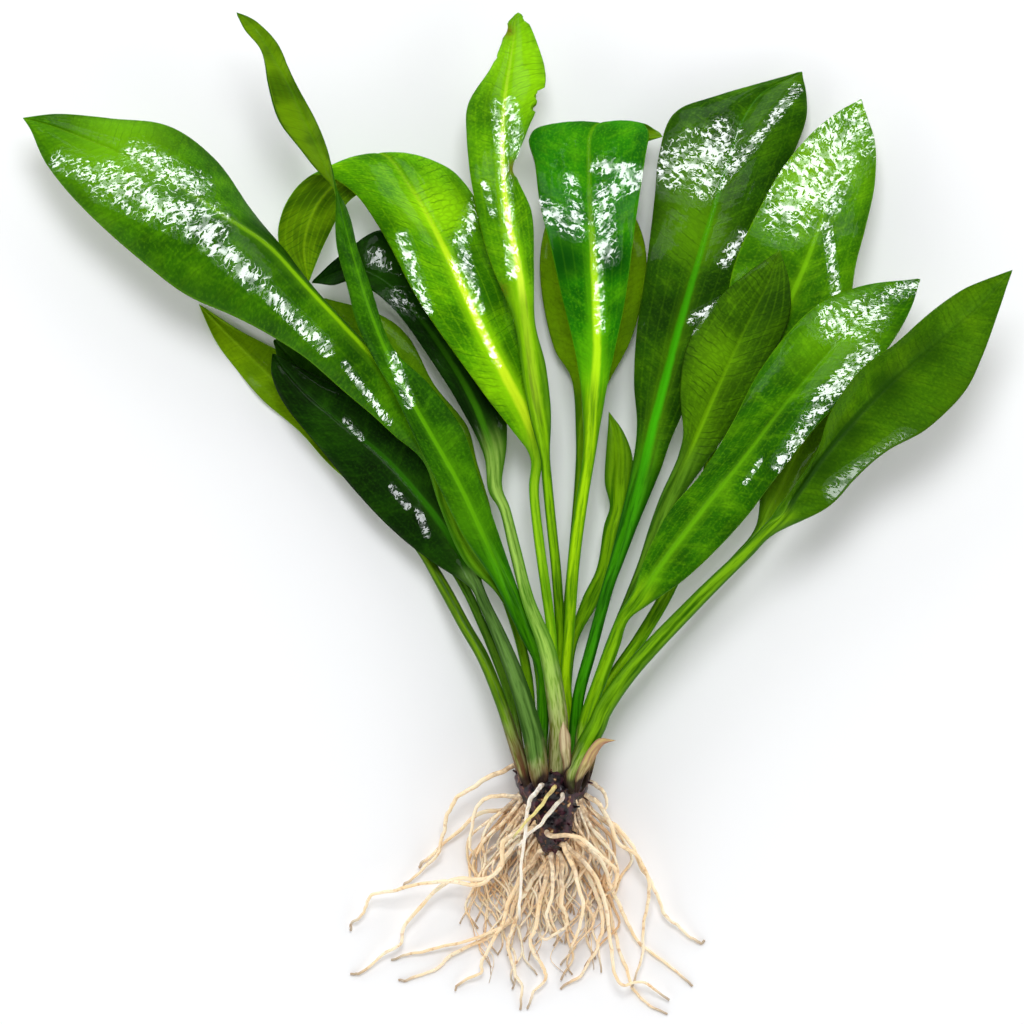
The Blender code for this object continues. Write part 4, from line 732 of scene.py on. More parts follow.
# Where water lies on a leaf: strokes from x, y to x, y, and their radius, in squares.
WET = {
    "leaf_long_left": [
        (-45.7, 35.3, -41.0, 33.6, 0.8), (-41.0, 33.4, -30.5, 28.8, 1.5), (-31.0, 27.6, -26.0, 23.3, 0.9),
        (-26.0, 23.3, -19.0, 16.6, 0.6), (-38.0, 36.0, -31.9, 32.6, 1.1), (-17.2, 15.0, -12.8, 9.3, 0.3),
    ],
    "leaf_twisted": [
        (-12.4, 15.7, -10.7, 11.2, 0.45),
    ],
    "leaf_arched": [
        (-11.5, 27.7, -9.0, 20.5, 0.5), (-4.1, 31.0, -5.6, 27.3, 0.6), (-5.6, 27.3, -3.9, 20.5, 0.5),
        (-6.5, 25.5, -1.9, 15.0, 0.3),
    ],
    "leaf_shaded": [
        (-14.1, 25.8, -11.7, 25.3, 0.8), (-12.1, 21.5, -8.7, 20.9, 0.8),
    ],
    "leaf_torn": [
        (-2.0, 41.0, -1.3, 34.0, 0.5), (-0.7, 41.0, 0.6, 34.0, 0.6), (-1.2, 34.0, -0.4, 24.0, 0.5),
        (-3.2, 33.0, -2.3, 30.0, 0.3),
    ],
    "leaf_centre": [
        (2.1, 30.7, 6.1, 28.7, 0.9), (5.3, 33.5, 6.0, 30.0, 0.6), (8.5, 34.9, 11.9, 33.9, 0.8),
        (8.5, 32.0, 8.9, 26.0, 0.9), (10.1, 32.3, 12.1, 33.7, 0.8), (8.1, 25.5, 8.3, 18.5, 0.4),
    ],
    "leaf_broad_right": [
        (15.5, 35.0, 19.8, 36.5, 1.9), (18.5, 33.3, 20.7, 38.0, 1.4), (20.5, 33.6, 24.0, 37.6, 0.5), (24.0, 37.6, 28.1, 42.8, 0.45),
        (20.7, 25.3, 22.5, 28.0, 0.5), (17.5, 19.5, 21.1, 21.5, 0.4),
    ],
    "leaf_pointed_right": [
        (27.3, 31.0, 33.3, 39.0, 2.5), (31.1, 31.5, 33.3, 38.5, 1.4), (31.0, 29.0, 31.9, 22.3, 0.4),
    ],
    "leaf_glossy_right": [
        (31.8, 19.3, 35.1, 20.1, 1.5), (36.3, 21.5, 39.5, 23.0, 0.7), (35.1, 16.5, 30.3, 11.3, 0.8),
        (30.3, 11.3, 26.2, 5.0, 0.6), (22.8, 3.2, 24.3, 5.5, 0.2),
    ],
    "leaf_dark_left": [
        (-12.5, 2.7, -11.0, 0.9, 0.3), (-9.9, 0.4, -9.0, -2.0, 0.3), (-17.2, 9.5, -15.5, 7.7, 0.25),
    ],
    "leaf_dark_right": [
        (17.5, 18.5, 19.5, 21.5, 0.4),
    ],
    "leaf_far_right": [
        (32.0, 2.4, 38.6, 7.0, 0.9),
    ],
}


def linear(colour):
    """A colour out of 255, as the shader's linear red, green, blue and alpha."""
    parts = [part / 255 for part in colour]
    return (*[part / 12.92 if part <= 0.04045 else ((part + 0.055) / 1.055) ** 2.4 for part in parts], 1.0)


def smooth_step(value):
    value = np.clip(value, 0.0, 1.0)
    return value * value * (3 - 2 * value)


def unit(vectors):
    return vectors / np.maximum(np.linalg.norm(vectors, axis=-1, keepdims=True), 1e-12)


def place(points):
    """Points of the drawing, in metres above the table."""
    return (np.asarray(points, float) - (0.0, 0.0, REST_HEIGHT)) * SQUARE


def spline(rows, counts):
    """Rows of a smooth curve through the given ones, with a count of steps to each span."""
    rows = np.asarray(rows, float)
    ends = np.vstack([2 * rows[0] - rows[1], rows, 2 * rows[-1] - rows[-2]])
    curve = []
    for i, count in enumerate(counts):
        before, start, end, after = ends[i:i + 4]
        t = (np.arange(count) / count)[:, None]
        curve.append(
            start
            + 0.5 * t * (end - before)
            + t * t * (before - 2.5 * start + 2 * end - 0.5 * after)
            + 0.5 * t ** 3 * (3 * start - before - 3 * end + after)
        )
    curve.append(rows[-1:])
    return np.vstack(curve)


# Nodes.

def add_node(tree, kind, values=None, **settings):
    """A node; a value that is a socket is linked to its input, and any other value is set there."""
    node = tree.nodes.new(kind)
    for key, value in settings.items():
        setattr(node, key, value)
    for key, value in (values or {}).items():
        if isinstance(value, bpy.types.NodeSocket):
            tree.links.new(value, node.inputs[key])
        else:
            node.inputs[key].default_value = value
    return node


def maths(tree, operation, *values):
    node = add_node(tree, "ShaderNodeMath", dict(enumerate(values)), operation=operation)
    return node.outputs[0]


def fade(tree, value, low, high, start=0.0, end=1.0):
    """Turns smoothly from start to end as the value goes from low to high."""
    values = {"Value": value, "From Min": low, "From Max": high, "To Min": start, "To Max": end}
    return add_node(tree, "ShaderNodeMapRange", values, interpolation_type="SMOOTHSTEP").outputs["Result"]


def blend(tree, factor, first, second, mode="MIX"):
    """Mixes two colours."""
    node = add_node(tree, "ShaderNodeMix", data_type="RGBA", blend_type=mode)
    for index, value in ((0, factor), (6, first), (7, second)):
        if isinstance(value, bpy.types.NodeSocket):
            tree.links.new(value, node.inputs[index])
        else:
            node.inputs[index].default_value = value
    return node.outputs[2]


def cloud(tree, vector, scale, detail=2.0, stretch=None):
    """Soft noise between 0 and 1 over a place in millimetres."""
    if stretch:
        vector = add_node(tree, "ShaderNodeVectorMath", {0: vector, 1: stretch}, operation="MULTIPLY").outputs[0]
    return add_node(tree, "ShaderNodeTexNoise", {"Vector": vector, "Scale": scale, "Detail": detail}).outputs[0]


def new_material(name):
    material = bpy.data.materials.new(name)
    material.use_nodes = True
    tree = material.node_tree
    return material, tree, tree.nodes["Principled BSDF"]


def attribute(tree, name):
    return add_node(tree, "ShaderNodeAttribute", attribute_name=name).outputs["Fac"]


def vein_lines(tree, share, half_width, count):
    """Distance in metres to the nearest of the veins that run along a blade."""
    spread = maths(tree, "MULTIPLY", maths(tree, "ABSOLUTE", share), count)
    nearest = maths(tree, "PINGPONG", spread, 0.5)
    return maths(tree, "MULTIPLY", nearest, maths(tree, "DIVIDE", half_width, count))


def cross_lines(tree, along, across, gap, slant, wander):
    """Distance in metres to the nearest of the fine veins that cross a blade towards its margin."""
    outward = maths(tree, "MULTIPLY", maths(tree, "ABSOLUTE", across), slant)
    place_along = maths(tree, "ADD", maths(tree, "SUBTRACT", along, outward), wander)
    return maths(tree, "PINGPONG", place_along, maths(tree, "MULTIPLY", gap, 0.5))


# The two greens of an underside, and the leaves whose underside is the face that shows.
UNDERSIDE = ((66, 102, 2), (104, 146, 4))
SHOWN_FROM_BELOW = ("leaf_back_left", "leaf_far_right")

VEIN_COUNT = 4.0
# Meshes of the fine net of veins to a millimetre.
NET_SCALE = 0.7
CROSS_GAP = 2.6 * MM
CROSS_SLANT = 0.55
CROSS_WANDER = 1.6 * MM
# Heights of what breaks up the shine of a blade: the wrinkles of the water, and the skin's grain and veins.
WRINKLE_HEIGHT = 0.3 * MM
GRAIN_HEIGHT = 0.02 * MM
CROSS_HEIGHT = 0.05 * MM
VEIN_HEIGHT = 0.05 * MM


def leaf_colour(tree, name, look, flat, slanted):
    """The colour of a leaf from its margin to its midrib and down its petiole, and how much of a vein there is."""
    main, light, dark, rib, glow, veining, slot = look
    share, along, across = attribute(tree, "share"), attribute(tree, "along"), attribute(tree, "across")
    half_width, rib_width = attribute(tree, "half_width"), attribute(tree, "rib_width")
    tone, under = attribute(tree, "tone"), attribute(tree, "under")

    # The body of the blade: broad mottling, streaks that slant outward from the midrib, and flecks.
    mottling = cloud(tree, flat, 0.07, 2.0)
    mottled = MOTTLING[slot]
    colour = blend(tree, fade(tree, mottling, 0.32, 0.55, mottled, 0.0), linear(main), linear(dark))
    colour = blend(tree, fade(tree, mottling, 0.5, 0.72, 0.0, 0.4), colour, linear(light))
    streaks = cloud(tree, slanted, 0.28, 2.0)
    colour = blend(tree, fade(tree, streaks, 0.48, 0.7, 0.0, 0.24), colour, linear(light))
    colour = blend(tree, fade(tree, streaks, 0.3, 0.5, 0.28, 0.0), colour, linear(dark))
    flecks = cloud(tree, flat, 1.1, 2.0)
    colour = blend(tree, fade(tree, flecks, 0.5, 0.7, 0.0, 0.22), colour, linear(light))
    colour = blend(tree, fade(tree, flecks, 0.34, 0.5, 0.22, 0.0), colour, linear(dark))
    # Painted light and shade, laid with the leaves' own lighter and darker areas.
    colour = blend(tree, fade(tree, tone, 0.0, 1.0), colour, linear(light))
    colour = blend(tree, fade(tree, tone, 0.0, -1.0), colour, linear(dark))
    if name not in SHOWN_FROM_BELOW:
        below = blend(tree, fade(tree, mottling, 0.35, 0.6), linear(UNDERSIDE[0]), linear(UNDERSIDE[1]))
        colour = blend(tree, fade(tree, under, 0.4, 0.6), colour, below)

    # Veins along the blade, then the fine ones across it.
    vein = fade(tree, vein_lines(tree, share, half_width, VEIN_COUNT), 0.05 * MM, 0.5 * MM, veining * 0.25, 0.0)
    colour = blend(tree, vein, colour, linear(light if slot != "olive_leaf" else dark))
    wander = maths(tree, "MULTIPLY", cloud(tree, flat, 0.35, 1.0), CROSS_WANDER)
    crossing = cross_lines(tree, along, across, CROSS_GAP, CROSS_SLANT, wander)
    cross_vein = fade(tree, crossing, 0.04 * MM, 0.36 * MM, veining * 0.75, 0.0)
    cross_vein = maths(tree, "MULTIPLY", cross_vein, fade(tree, streaks, 0.4, 0.6))
    colour = blend(tree, cross_vein, colour, linear(dark))
    values = {"Vector": slanted, "Scale": NET_SCALE}
    net = add_node(tree, "ShaderNodeTexVoronoi", values, feature="DISTANCE_TO_EDGE").outputs["Distance"]
    colour = blend(tree, fade(tree, net, 0.02, 0.2, veining * 0.3, 0.0), colour, linear(dark))

    # The margin's dark border and fine rim, and the midrib with the light that spreads from it.
    border = fade(tree, maths(tree, "ABSOLUTE", share), 0.7, 1.0, 0.0, 0.4)
    colour = blend(tree, maths(tree, "MULTIPLY", border, fade(tree, streaks, 0.35, 0.6)), colour, linear(dark))
    rim = fade(tree, maths(tree, "ABSOLUTE", share), 0.965, 1.0, 0.0, 0.4)
    colour = blend(tree, rim, colour, linear(dark if slot == "dark_leaf" else light))
    off_rib = maths(tree, "DIVIDE", maths(tree, "ABSOLUTE", across), rib_width)
    # Both weaken towards the tip, where the midrib is fine.
    strength = fade(tree, attribute(tree, "tip_share"), *RIB_FADES.get(name, (0.25, 0.8)), 1.0, 0.1)
    spread = fade(tree, off_rib, 0.8, 3.6, glow, 0.0)
    colour = blend(tree, maths(tree, "MULTIPLY", spread, strength), colour, linear(light))
    ragged = maths(tree, "MULTIPLY_ADD", cloud(tree, flat, 0.5, 2.0, (0.4, 1.0, 1.0)), 0.5, off_rib)
    middle = maths(tree, "MULTIPLY", fade(tree, ragged, 0.7, 1.7, 0.95, 0.0), strength)
    colour = blend(tree, middle, colour, linear(rib))
    worn = maths(tree, "MULTIPLY", attribute(tree, "worn"), fade(tree, flecks, 0.35, 0.6, 0.4, 1.0))
    colour = blend(tree, worn, colour, linear(WORN))
    if slot == "sheath":
        stripes = cloud(tree, flat, 1.2, 3.0, (0.07, 1.0, 1.0))
        colour = blend(tree, fade(tree, stripes, 0.35, 0.65), linear(dark), linear(light))
        colour = blend(tree, fade(tree, flecks, 0.45, 0.7, 0.0, 0.6), colour, linear(main))
        colour = blend(tree, fade(tree, attribute(tree, "tip_share"), 0.45, 0.9), colour, linear(rib))
    return colour, vein, cross_vein, streaks


def stalk_colour(tree, colour, name, flat, slot):
    """The petiole over the blade's colour: light, with soft streaks along it and painted shade down its sides, pale and
    then brown with stains at its foot.
    """
    along, is_blade = attribute(tree, "along"), attribute(tree, "blade")
    light, dark = STALKS[name if name in STALKS else slot]
    streaks = cloud(tree, flat, 0.55, 2.0, (0.06, 1.0, 1.0))
    stalk = blend(tree, fade(tree, streaks, 0.3, 0.62), linear(dark), linear(light))
    fine = cloud(tree, flat, 1.6, 2.0, (0.12, 1.0, 1.0))
    stalk = blend(tree, fade(tree, fine, 0.5, 0.75, 0.0, 0.4), stalk, linear(light))
    stalk = blend(tree, fade(tree, fine, 0.3, 0.48, 0.4, 0.0), stalk, linear(dark))
    # Painted shade: the petiole's round sides turn to its dark green.
    side = fade(tree, maths(tree, "ABSOLUTE", attribute(tree, "share")), 0.35, 0.95, 0.0, 0.9)
    stalk = blend(tree, side, stalk, linear(dark))
    colour = blend(tree, fade(tree, is_blade, 0.0, 1.0, 1.0, 0.0), colour, stalk)
    blotches = cloud(tree, flat, 0.2, 2.0, (0.5, 1.0, 1.0))
    place_along = maths(tree, "MULTIPLY_ADD", blotches, 20 * MM, along)
    foot = blend(tree, fade(tree, fine, 0.36, 0.58), linear(FOOT_COLOURS[1]), linear(FOOT_COLOURS[0]))
    reach, paleness = FEET.get(name, (32, 0.5))
    colour = blend(tree, fade(tree, place_along, 18 * MM, reach * MM, paleness, 0.0), colour, foot)
    # Brown stains on the feet; on leaf_back_left this brown is also painted shade in the gap beside its foot.
    stain_and_shade_strength = FOOT_STAINS_AND_SHADE.get(name, 0.55)
    stain_and_shade = fade(tree, place_along, 17 * MM, (reach - 6) * MM, 1.0, 0.0)
    stain_and_shade = maths(tree, "MULTIPLY", stain_and_shade, fade(tree, streaks, 0.36, 0.56, 0.3 * stain_and_shade_strength, stain_and_shade_strength))
    colour = blend(tree, stain_and_shade, colour, linear(FOOT_COLOURS[2]))
    # The foot's sides turn brown: partly stains, partly the painted shade of the sides.
    edge = maths(tree, "MULTIPLY", side, fade(tree, place_along, 18 * MM, reach * MM, 0.8, 0.0))
    colour = blend(tree, edge, colour, linear(FOOT_COLOURS[2]))
    return blend(tree, fade(tree, place_along, 14 * MM, 18.5 * MM, 0.95, 0.0), colour, linear(FOOT_COLOURS[3]))


def leaf_material(name, look):
    slot = look[6]
    material, tree, shader = new_material(name + "_skin")
    along, across, under = attribute(tree, "along"), attribute(tree, "across"), attribute(tree, "under")
    to_mm = (1000, 1000, 1000)
    flat = add_node(tree, "ShaderNodeCombineXYZ", {0: along, 1: across, 2: under}).outputs[0]
    flat = add_node(tree, "ShaderNodeVectorMath", {0: flat, 1: to_mm}, operation="MULTIPLY").outputs[0]
    outward = maths(tree, "MULTIPLY_ADD", maths(tree, "ABSOLUTE", across), -CROSS_SLANT, along)
    slanted = add_node(tree, "ShaderNodeCombineXYZ", {0: outward, 1: maths(tree, "MULTIPLY", across, 0.4), 2: under})
    slanted = add_node(tree, "ShaderNodeVectorMath", {0: slanted.outputs[0], 1: to_mm}, operation="MULTIPLY").outputs[0]
    colour, vein, cross_vein, streaks = leaf_colour(tree, name, look, flat, slanted)
    tree.links.new(stalk_colour(tree, colour, name, flat, slot), shader.inputs["Base Color"])

    stalk = fade(tree, attribute(tree, "blade"), 0.0, 1.0, STALK_ROUGHNESS, DRY_ROUGHNESS)
    rough = maths(tree, "MULTIPLY_ADD", cloud(tree, flat, 0.8, 2.0), 0.15, stalk)
    tree.links.new(rough, shader.inputs["Roughness"])
    shader.inputs["Specular IOR Level"].default_value = SHINE
    shader.inputs["Specular Tint"].default_value = SHINE_TINT
    # Water lies on parts of the blade, torn into shreds that get fewer outward, with curling threads among them.
    puddle = attribute(tree, "wet")
    values = {"Scale": 0.55, "Detail": 2.5, "Distortion": 1.0}
    shreds = add_node(tree, "ShaderNodeVectorMath", {0: slanted, 1: (1.0, 1.5, 1.0)}, operation="MULTIPLY").outputs[0]
    shreds = add_node(tree, "ShaderNodeTexNoise", {"Vector": shreds, **values}).outputs[0]
    shreds = maths(tree, "MULTIPLY_ADD", cloud(tree, flat, 0.14, 1.0), SHRED_PATCHES, shreds)
    film = fade(tree, maths(tree, "MULTIPLY_ADD", puddle, SHRED_FILL, shreds), *SHRED_EDGE)
    film = maths(tree, "MULTIPLY", film, fade(tree, puddle, 0.06, 0.35))
    threads = maths(tree, "ABSOLUTE", maths(tree, "SUBTRACT", cloud(tree, flat, 0.34, 1.0), 0.5))
    threads = fade(tree, threads, 0.008, 0.026, 0.9, 0.0)
    threads = maths(tree, "MULTIPLY", threads, fade(tree, puddle, 0.15, 0.5))
    film = maths(tree, "MAXIMUM", film, threads)
    film = maths(tree, "MULTIPLY", film, fade(tree, cloud(tree, flat, 0.3, 1.0), 0.38, 0.56, 0.3, 1.0))
    tree.links.new(fade(tree, film, 0.0, 1.0, DRY_COAT, WET_COAT[slot]), shader.inputs["Coat Weight"])
    shader.inputs["Coat Roughness"].default_value = 0.06
    shader.inputs["Coat IOR"].default_value = 1.8

    # The skin has a fine grain and sunken veins.
    height = maths(tree, "MULTIPLY", cloud(tree, flat, 1.6, 1.0), GRAIN_HEIGHT)
    height = maths(tree, "MULTIPLY_ADD", cross_vein, -CROSS_HEIGHT, height)
    height = maths(tree, "MULTIPLY_ADD", vein, -VEIN_HEIGHT, height)
    bump = add_node(tree, "ShaderNodeBump", {"Strength": 1.0, "Distance": 1.0, "Height": height})
    tree.links.new(bump.outputs[0], shader.inputs["Normal"])
    # The water's face is nearly level whatever lies under it, and wrinkled in patches.
    own = add_node(tree, "ShaderNodeNewGeometry").outputs["Normal"]
    face = add_node(tree, "ShaderNodeMix", {0: fade(tree, puddle, 0.02, 0.2, 0.0, FILM_LEVEL)}, data_type="VECTOR")
    tree.links.new(own, face.inputs[4])
    face.inputs[5].default_value = FILM_FACE
    face = add_node(tree, "ShaderNodeVectorMath", {0: face.outputs[1]}, operation="NORMALIZE").outputs[0]
    wrinkles = maths(tree, "MULTIPLY", cloud(tree, flat, 0.5, 1.0), fade(tree, puddle, 0.02, 0.3))
    height = maths(tree, "MULTIPLY", wrinkles, WRINKLE_HEIGHT)
    bump = add_node(tree, "ShaderNodeBump", {"Strength": 1.0, "Distance": 1.0, "Height": height, "Normal": face})
    tree.links.new(bump.outputs[0], shader.inputs["Coat Normal"])
    return material


STALK_ROUGHNESS = 0.3
DRY_ROUGHNESS = 0.5
SHINE = 0.06
SHINE_TINT = (0.85, 1.0, 0.5, 1.0)
# Which way the face of the water points, and how far it takes that way instead of the blade's own.
FILM_FACE = (0.01, 0.225, 0.974)
FILM_LEVEL = 0.95
# Where the shreds of the film end, how much the puddle adds to them, and how unevenly they lie.
SHRED_EDGE = (0.84, 0.9)
SHRED_FILL = 0.28
SHRED_PATCHES = 0.3
# How much of a film of water there is on the dry and on the wet parts.
DRY_COAT = 0.02
WET_COAT = {"leaf": 1.0, "dark_leaf": 0.55, "olive_leaf": 0.4, "sheath": 0.1}
MOTTLING = {"leaf": 0.6, "dark_leaf": 0.5, "olive_leaf": 0.25, "sheath": 0.5}


# The crown's axis runs along Y through this X and Z.
CROWN_X = 3.5
CROWN_Z = 3.9
# How far the foot of a petiole reaches over the crown.
FOOT_REACH = 1.7

def leaf_sections(leaf):
    """Rows of left margin, midrib and right margin, from the crown to the tip."""
    petiole = leaf["petiole"]
    path = [np.array(row[:3]) for row in petiole] + [np.array(leaf["blade"][0][3:6])]
    rows = []
    for i, row in enumerate(petiole):
        ahead = path[i + 1] - path[i - 1] if i else np.array((0.0, 1.0, 0.0))
        side = unit(np.array((-ahead[1], ahead[0], 0.0))) * row[3]
        rows.append((path[i] + side, path[i], path[i] - side))
    foot = rows[0][1]
    inward = np.array(((CROWN_X - foot[0]) * 0.12, -FOOT_REACH, (CROWN_Z - foot[2]) * 0.3))
    rows.insert(0, tuple(foot + inward + (edge - foot) * 0.5 for edge in rows[0]))
    for row in leaf["blade"]:
        middle = np.array(row[3:6])
        left = np.array((row[0], row[1], middle[2] + row[2]))
        right = np.array((row[6], row[7], middle[2] + row[8]))
        rows.append((left, middle, right))
    tip = np.array(leaf["tip"])
    rows.append((tip, tip, tip))
    if leaf["face"] < 0:
        rows = [(right, middle, left) for left, middle, right in rows]
    return np.array(rows)


STROKE_SPREAD = 1.25


def stroke_weight(squares, stroke):
    """1 on the line from one place to another, falling off over its radius."""
    start, end, radius = np.array(stroke[:2]), np.array(stroke[2:4]), stroke[4] * STROKE_SPREAD
    run = end - start
    part = np.clip(((squares - start) @ run) / (run @ run), 0, 1)
    gap = np.linalg.norm(squares - start - part[..., None] * run, axis=-1)
    return np.exp(-(gap / radius) ** 2)


def leaf_sheet(leaf):
    """The middle surface of a leaf as a grid of points, with what is known at each of them."""
    rows = leaf_sections(leaf)
    spans = np.linalg.norm(np.diff(rows[:, 1], axis=0), axis=1) * SQUARE
    petiole_spans = len(leaf["petiole"]) + 1
    steps = [PETIOLE_STEP if i < petiole_spans else BLADE_STEP for i in range(len(spans))]
    counts = [max(2, int(math.ceil(span / step))) for span, step in zip(spans, steps)]
    dense = spline(rows.reshape(len(rows), 9), counts).reshape(-1, 3, 3)
    left, middle, right = dense[:, 0], dense[:, 1], dense[:, 2]
    half = (np.linalg.norm(left - middle, axis=1) + np.linalg.norm(right - middle, axis=1)) / 2
    start_of_blade = sum(counts[:petiole_spans])
    widened = smooth_step((half - PETIOLE_TO) / (BLADE_FROM - PETIOLE_TO))
    # Past its widest place a blade stays a blade, however narrow.
    widened = np.maximum.accumulate(widened)
    columns = max(8, int(math.ceil(half.max() * SQUARE / ACROSS_STEP)))
    share = np.linspace(-1.0, 1.0, 2 * columns + 1)
    t = share[None, :, None]
    sides = np.where(t < 0, (left - middle)[:, None], (right - middle)[:, None])
    folded = middle[:, None] + np.abs(t) * sides
    rounded = middle[:, None] + t * ((right - left) / 2)[:, None] + t * t * ((left + right) / 2 - middle)[:, None]
    ahead = unit(np.gradient(middle, axis=0))
    up = unit(np.cross(right - left, ahead))
    up[-1] = up[-2]
    left_swell, right_swell = SWELLS.get(leaf["name"], (SWELL, SWELL))
    side_swell = np.where(t < 0, left_swell, right_swell)
    left_droop, right_droop = DROOPS.get(leaf["name"], (0.0, 0.0))
    side_droop = np.where(t < 0, left_droop, right_droop)
    swell = 4 * np.abs(t) * (1 - np.abs(t)) * side_swell - np.abs(t) ** 1.6 * side_droop
    swell = swell * (half * widened)[:, None, None]
    grid = folded + (rounded - folded) * FOLD_ROUNDING + up[:, None] * swell
    for x, y, radius, depth in NICKS.get(leaf["name"], []):
        gap = np.hypot(grid[..., 0] - x, grid[..., 1] - y)
        cut = depth * np.clip(1 - gap / radius, 0, 1) ** 0.6
        grid -= cut[..., None] * smooth_step((np.abs(t) - 0.4) / 0.6) * (grid - middle[:, None])
    grid = place(grid)
    half = half * SQUARE
    along = np.concatenate([[0.0], np.cumsum(np.linalg.norm(np.diff(grid[:, columns], axis=0), axis=1))])
    total = along[-1]
    wave = np.sin(2 * np.pi * along / WAVE_LENGTH + 1.0)[:, None] * np.abs(share)[None] ** 3
    grid = grid + up[:, None] * (wave * WAVE_HEIGHT * widened[:, None])[..., None]
    normal = unit(np.cross(np.gradient(grid, axis=1), np.gradient(grid, axis=0)))
    normal[-1] = normal[-2]
    blade_share = np.clip((along - along[start_of_blade]) / (total - along[start_of_blade]), 0.0, 1.0)
    rib = RIB_FINE + (RIB_WIDE * RIB_SCALE.get(leaf["name"], 1.0) - RIB_FINE) * (1 - blade_share ** 1.4)
    return {
        "grid": grid, "normal": normal, "share": share, "half_width": half, "blade": widened, "along": along,
        "rib_width": rib, "start_of_blade": start_of_blade,
    }


def grid_mesh(name, top, bottom, values, top_faces_up=True):
    """A closed mesh of two grids that meet at their side edges and at one end, with the other end capped.

    values maps an attribute's name to its numbers on the top grid, or to a pair for the top and the bottom."""
    rows, width = top.shape[:2]
    index = np.arange(rows * width).reshape(rows, width)
    inner = np.arange(rows * (width - 2)).reshape(rows, width - 2) + rows * width
    under = index.copy()
    under[:, 1:-1] = inner
    tip = index[-1, width // 2]
    index[-1, :] = tip
    under[-1, :] = tip
    corners = []
    for grid, turned in ((index, not top_faces_up), (under, top_faces_up)):
        quads = np.stack([grid[:-1, :-1], grid[:-1, 1:], grid[1:, 1:], grid[1:, :-1]], axis=-1).reshape(-1, 4)
        corners.append(quads[:, ::-1] if turned else quads)
    faces = [[v for i, v in enumerate(face) if v != face[i - 1]] for face in np.vstack(corners).tolist()]
    cap = list(under[0, ::-1]) + list(index[0, 1:-1])
    faces.append([int(v) for v in (cap if not top_faces_up else cap[::-1])])
    points = np.vstack([top.reshape(-1, 3), bottom[:, 1:-1].reshape(-1, 3)])
    used = np.zeros(len(points), bool)
    used[np.concatenate([np.array(face) for face in faces])] = True
    renumber = np.cumsum(used) - 1
    faces = [[int(renumber[v]) for v in face] for face in faces]
    mesh = bpy.data.meshes.new(name)
    mesh.from_pydata(points[used].tolist(), [], faces)
    for key, pair in values.items():
        above, below = pair if isinstance(pair, tuple) else (pair, pair)
        flat = np.vstack([above.reshape(rows * width, -1), below[:, 1:-1].reshape(rows * (width - 2), -1)])[used]
        kind = "FLOAT_VECTOR" if flat.shape[1] == 3 else "FLOAT"
        layer = mesh.attributes.new(key, kind, "POINT")
        layer.data.foreach_set("vector" if kind == "FLOAT_VECTOR" else "value", flat.astype(np.float32).ravel())
    mesh.validate()
    mesh.shade_smooth()
    return mesh


def leaf_piece(name, leaf, material):
    sheet = leaf_sheet({**leaf, "name": name})
    grid, normal, share = sheet["grid"], sheet["normal"], sheet["share"]
    half = sheet["half_width"][:, None]
    rib = sheet["rib_width"][:, None]
    blade = sheet["blade"][:, None]
    t = share[None]
    away = np.abs(t) * half
    edge = np.sqrt(np.clip(1 - t ** 8, 0, 1))
    round_edge = np.sqrt(np.clip(1 - t ** 2, 0, 1))
    above_blade = BLADE_THICKNESS / 2 * edge - RIB_GROOVE * np.exp(-(away / rib) ** 2) * edge
    ridge = RIB_RIDGE * rib / RIB_WIDE
    below_blade = BLADE_THICKNESS / 2 * edge + ridge * np.exp(-(away / rib) ** 2) * edge
    above_stalk = half * (PETIOLE_TOP * round_edge - PETIOLE_CHANNEL * np.exp(-(t / 0.4) ** 2))
    below_stalk = half * PETIOLE_DEPTH * round_edge
    above_stalk = above_stalk * (np.abs(t) < 0.999)
    above = above_stalk + (above_blade - above_stalk) * blade
    below = below_stalk + (below_blade - below_stalk) * blade
    top = grid + normal * above[..., None]
    bottom = grid - normal * below[..., None]
    squares = grid[..., :2] / SQUARE
    start = sheet["along"][sheet["start_of_blade"]]
    tip_share = np.clip((sheet["along"] - start) / (sheet["along"][-1] - start), 0, 1)[:, None]
    # Tone: the leaves' own light and dark areas together with painted light and shade.
    tone = np.zeros(grid.shape[:2])
    for x, y, radius, amount in TONE_LIGHT_AND_SHADE.get(name, []):
        gap = (squares[..., 0] - x) ** 2 + (squares[..., 1] - y) ** 2
        tone += amount * np.exp(-gap / radius ** 2)
    wet = np.zeros(grid.shape[:2])
    for stroke in WET.get(name, []):
        wet = np.maximum(wet, stroke_weight(squares, stroke))
    worn = np.zeros(grid.shape[:2])
    for x, y, radius, amount in NICKS.get(name, []) + SPOTS.get(name, []):
        gap = (squares[..., 0] - x) ** 2 + (squares[..., 1] - y) ** 2
        worn = np.maximum(worn, np.clip(amount * 3, 0, 1) * np.exp(-gap / (radius * 0.7) ** 2))
    ones = np.ones(grid.shape[:2])
    values = {
        "share": t * ones, "across": t * half * ones, "along": sheet["along"][:, None] * ones,
        "half_width": half * ones, "rib_width": rib * ones, "blade": blade * ones, "tone": tone,
        "tip_share": tip_share * ones, "wet": (wet, wet * (name in SHOWN_FROM_BELOW)), "worn": worn,
        "under": (0 * ones, ones), "up": normal,
    }
    mesh = grid_mesh(name, top, bottom, values)
    mesh.materials.append(material)
    base = bpy.data.objects.new(name + "_plain", mesh)
    bpy.context.scene.collection.objects.link(base)
    return base


# Geometry Nodes.

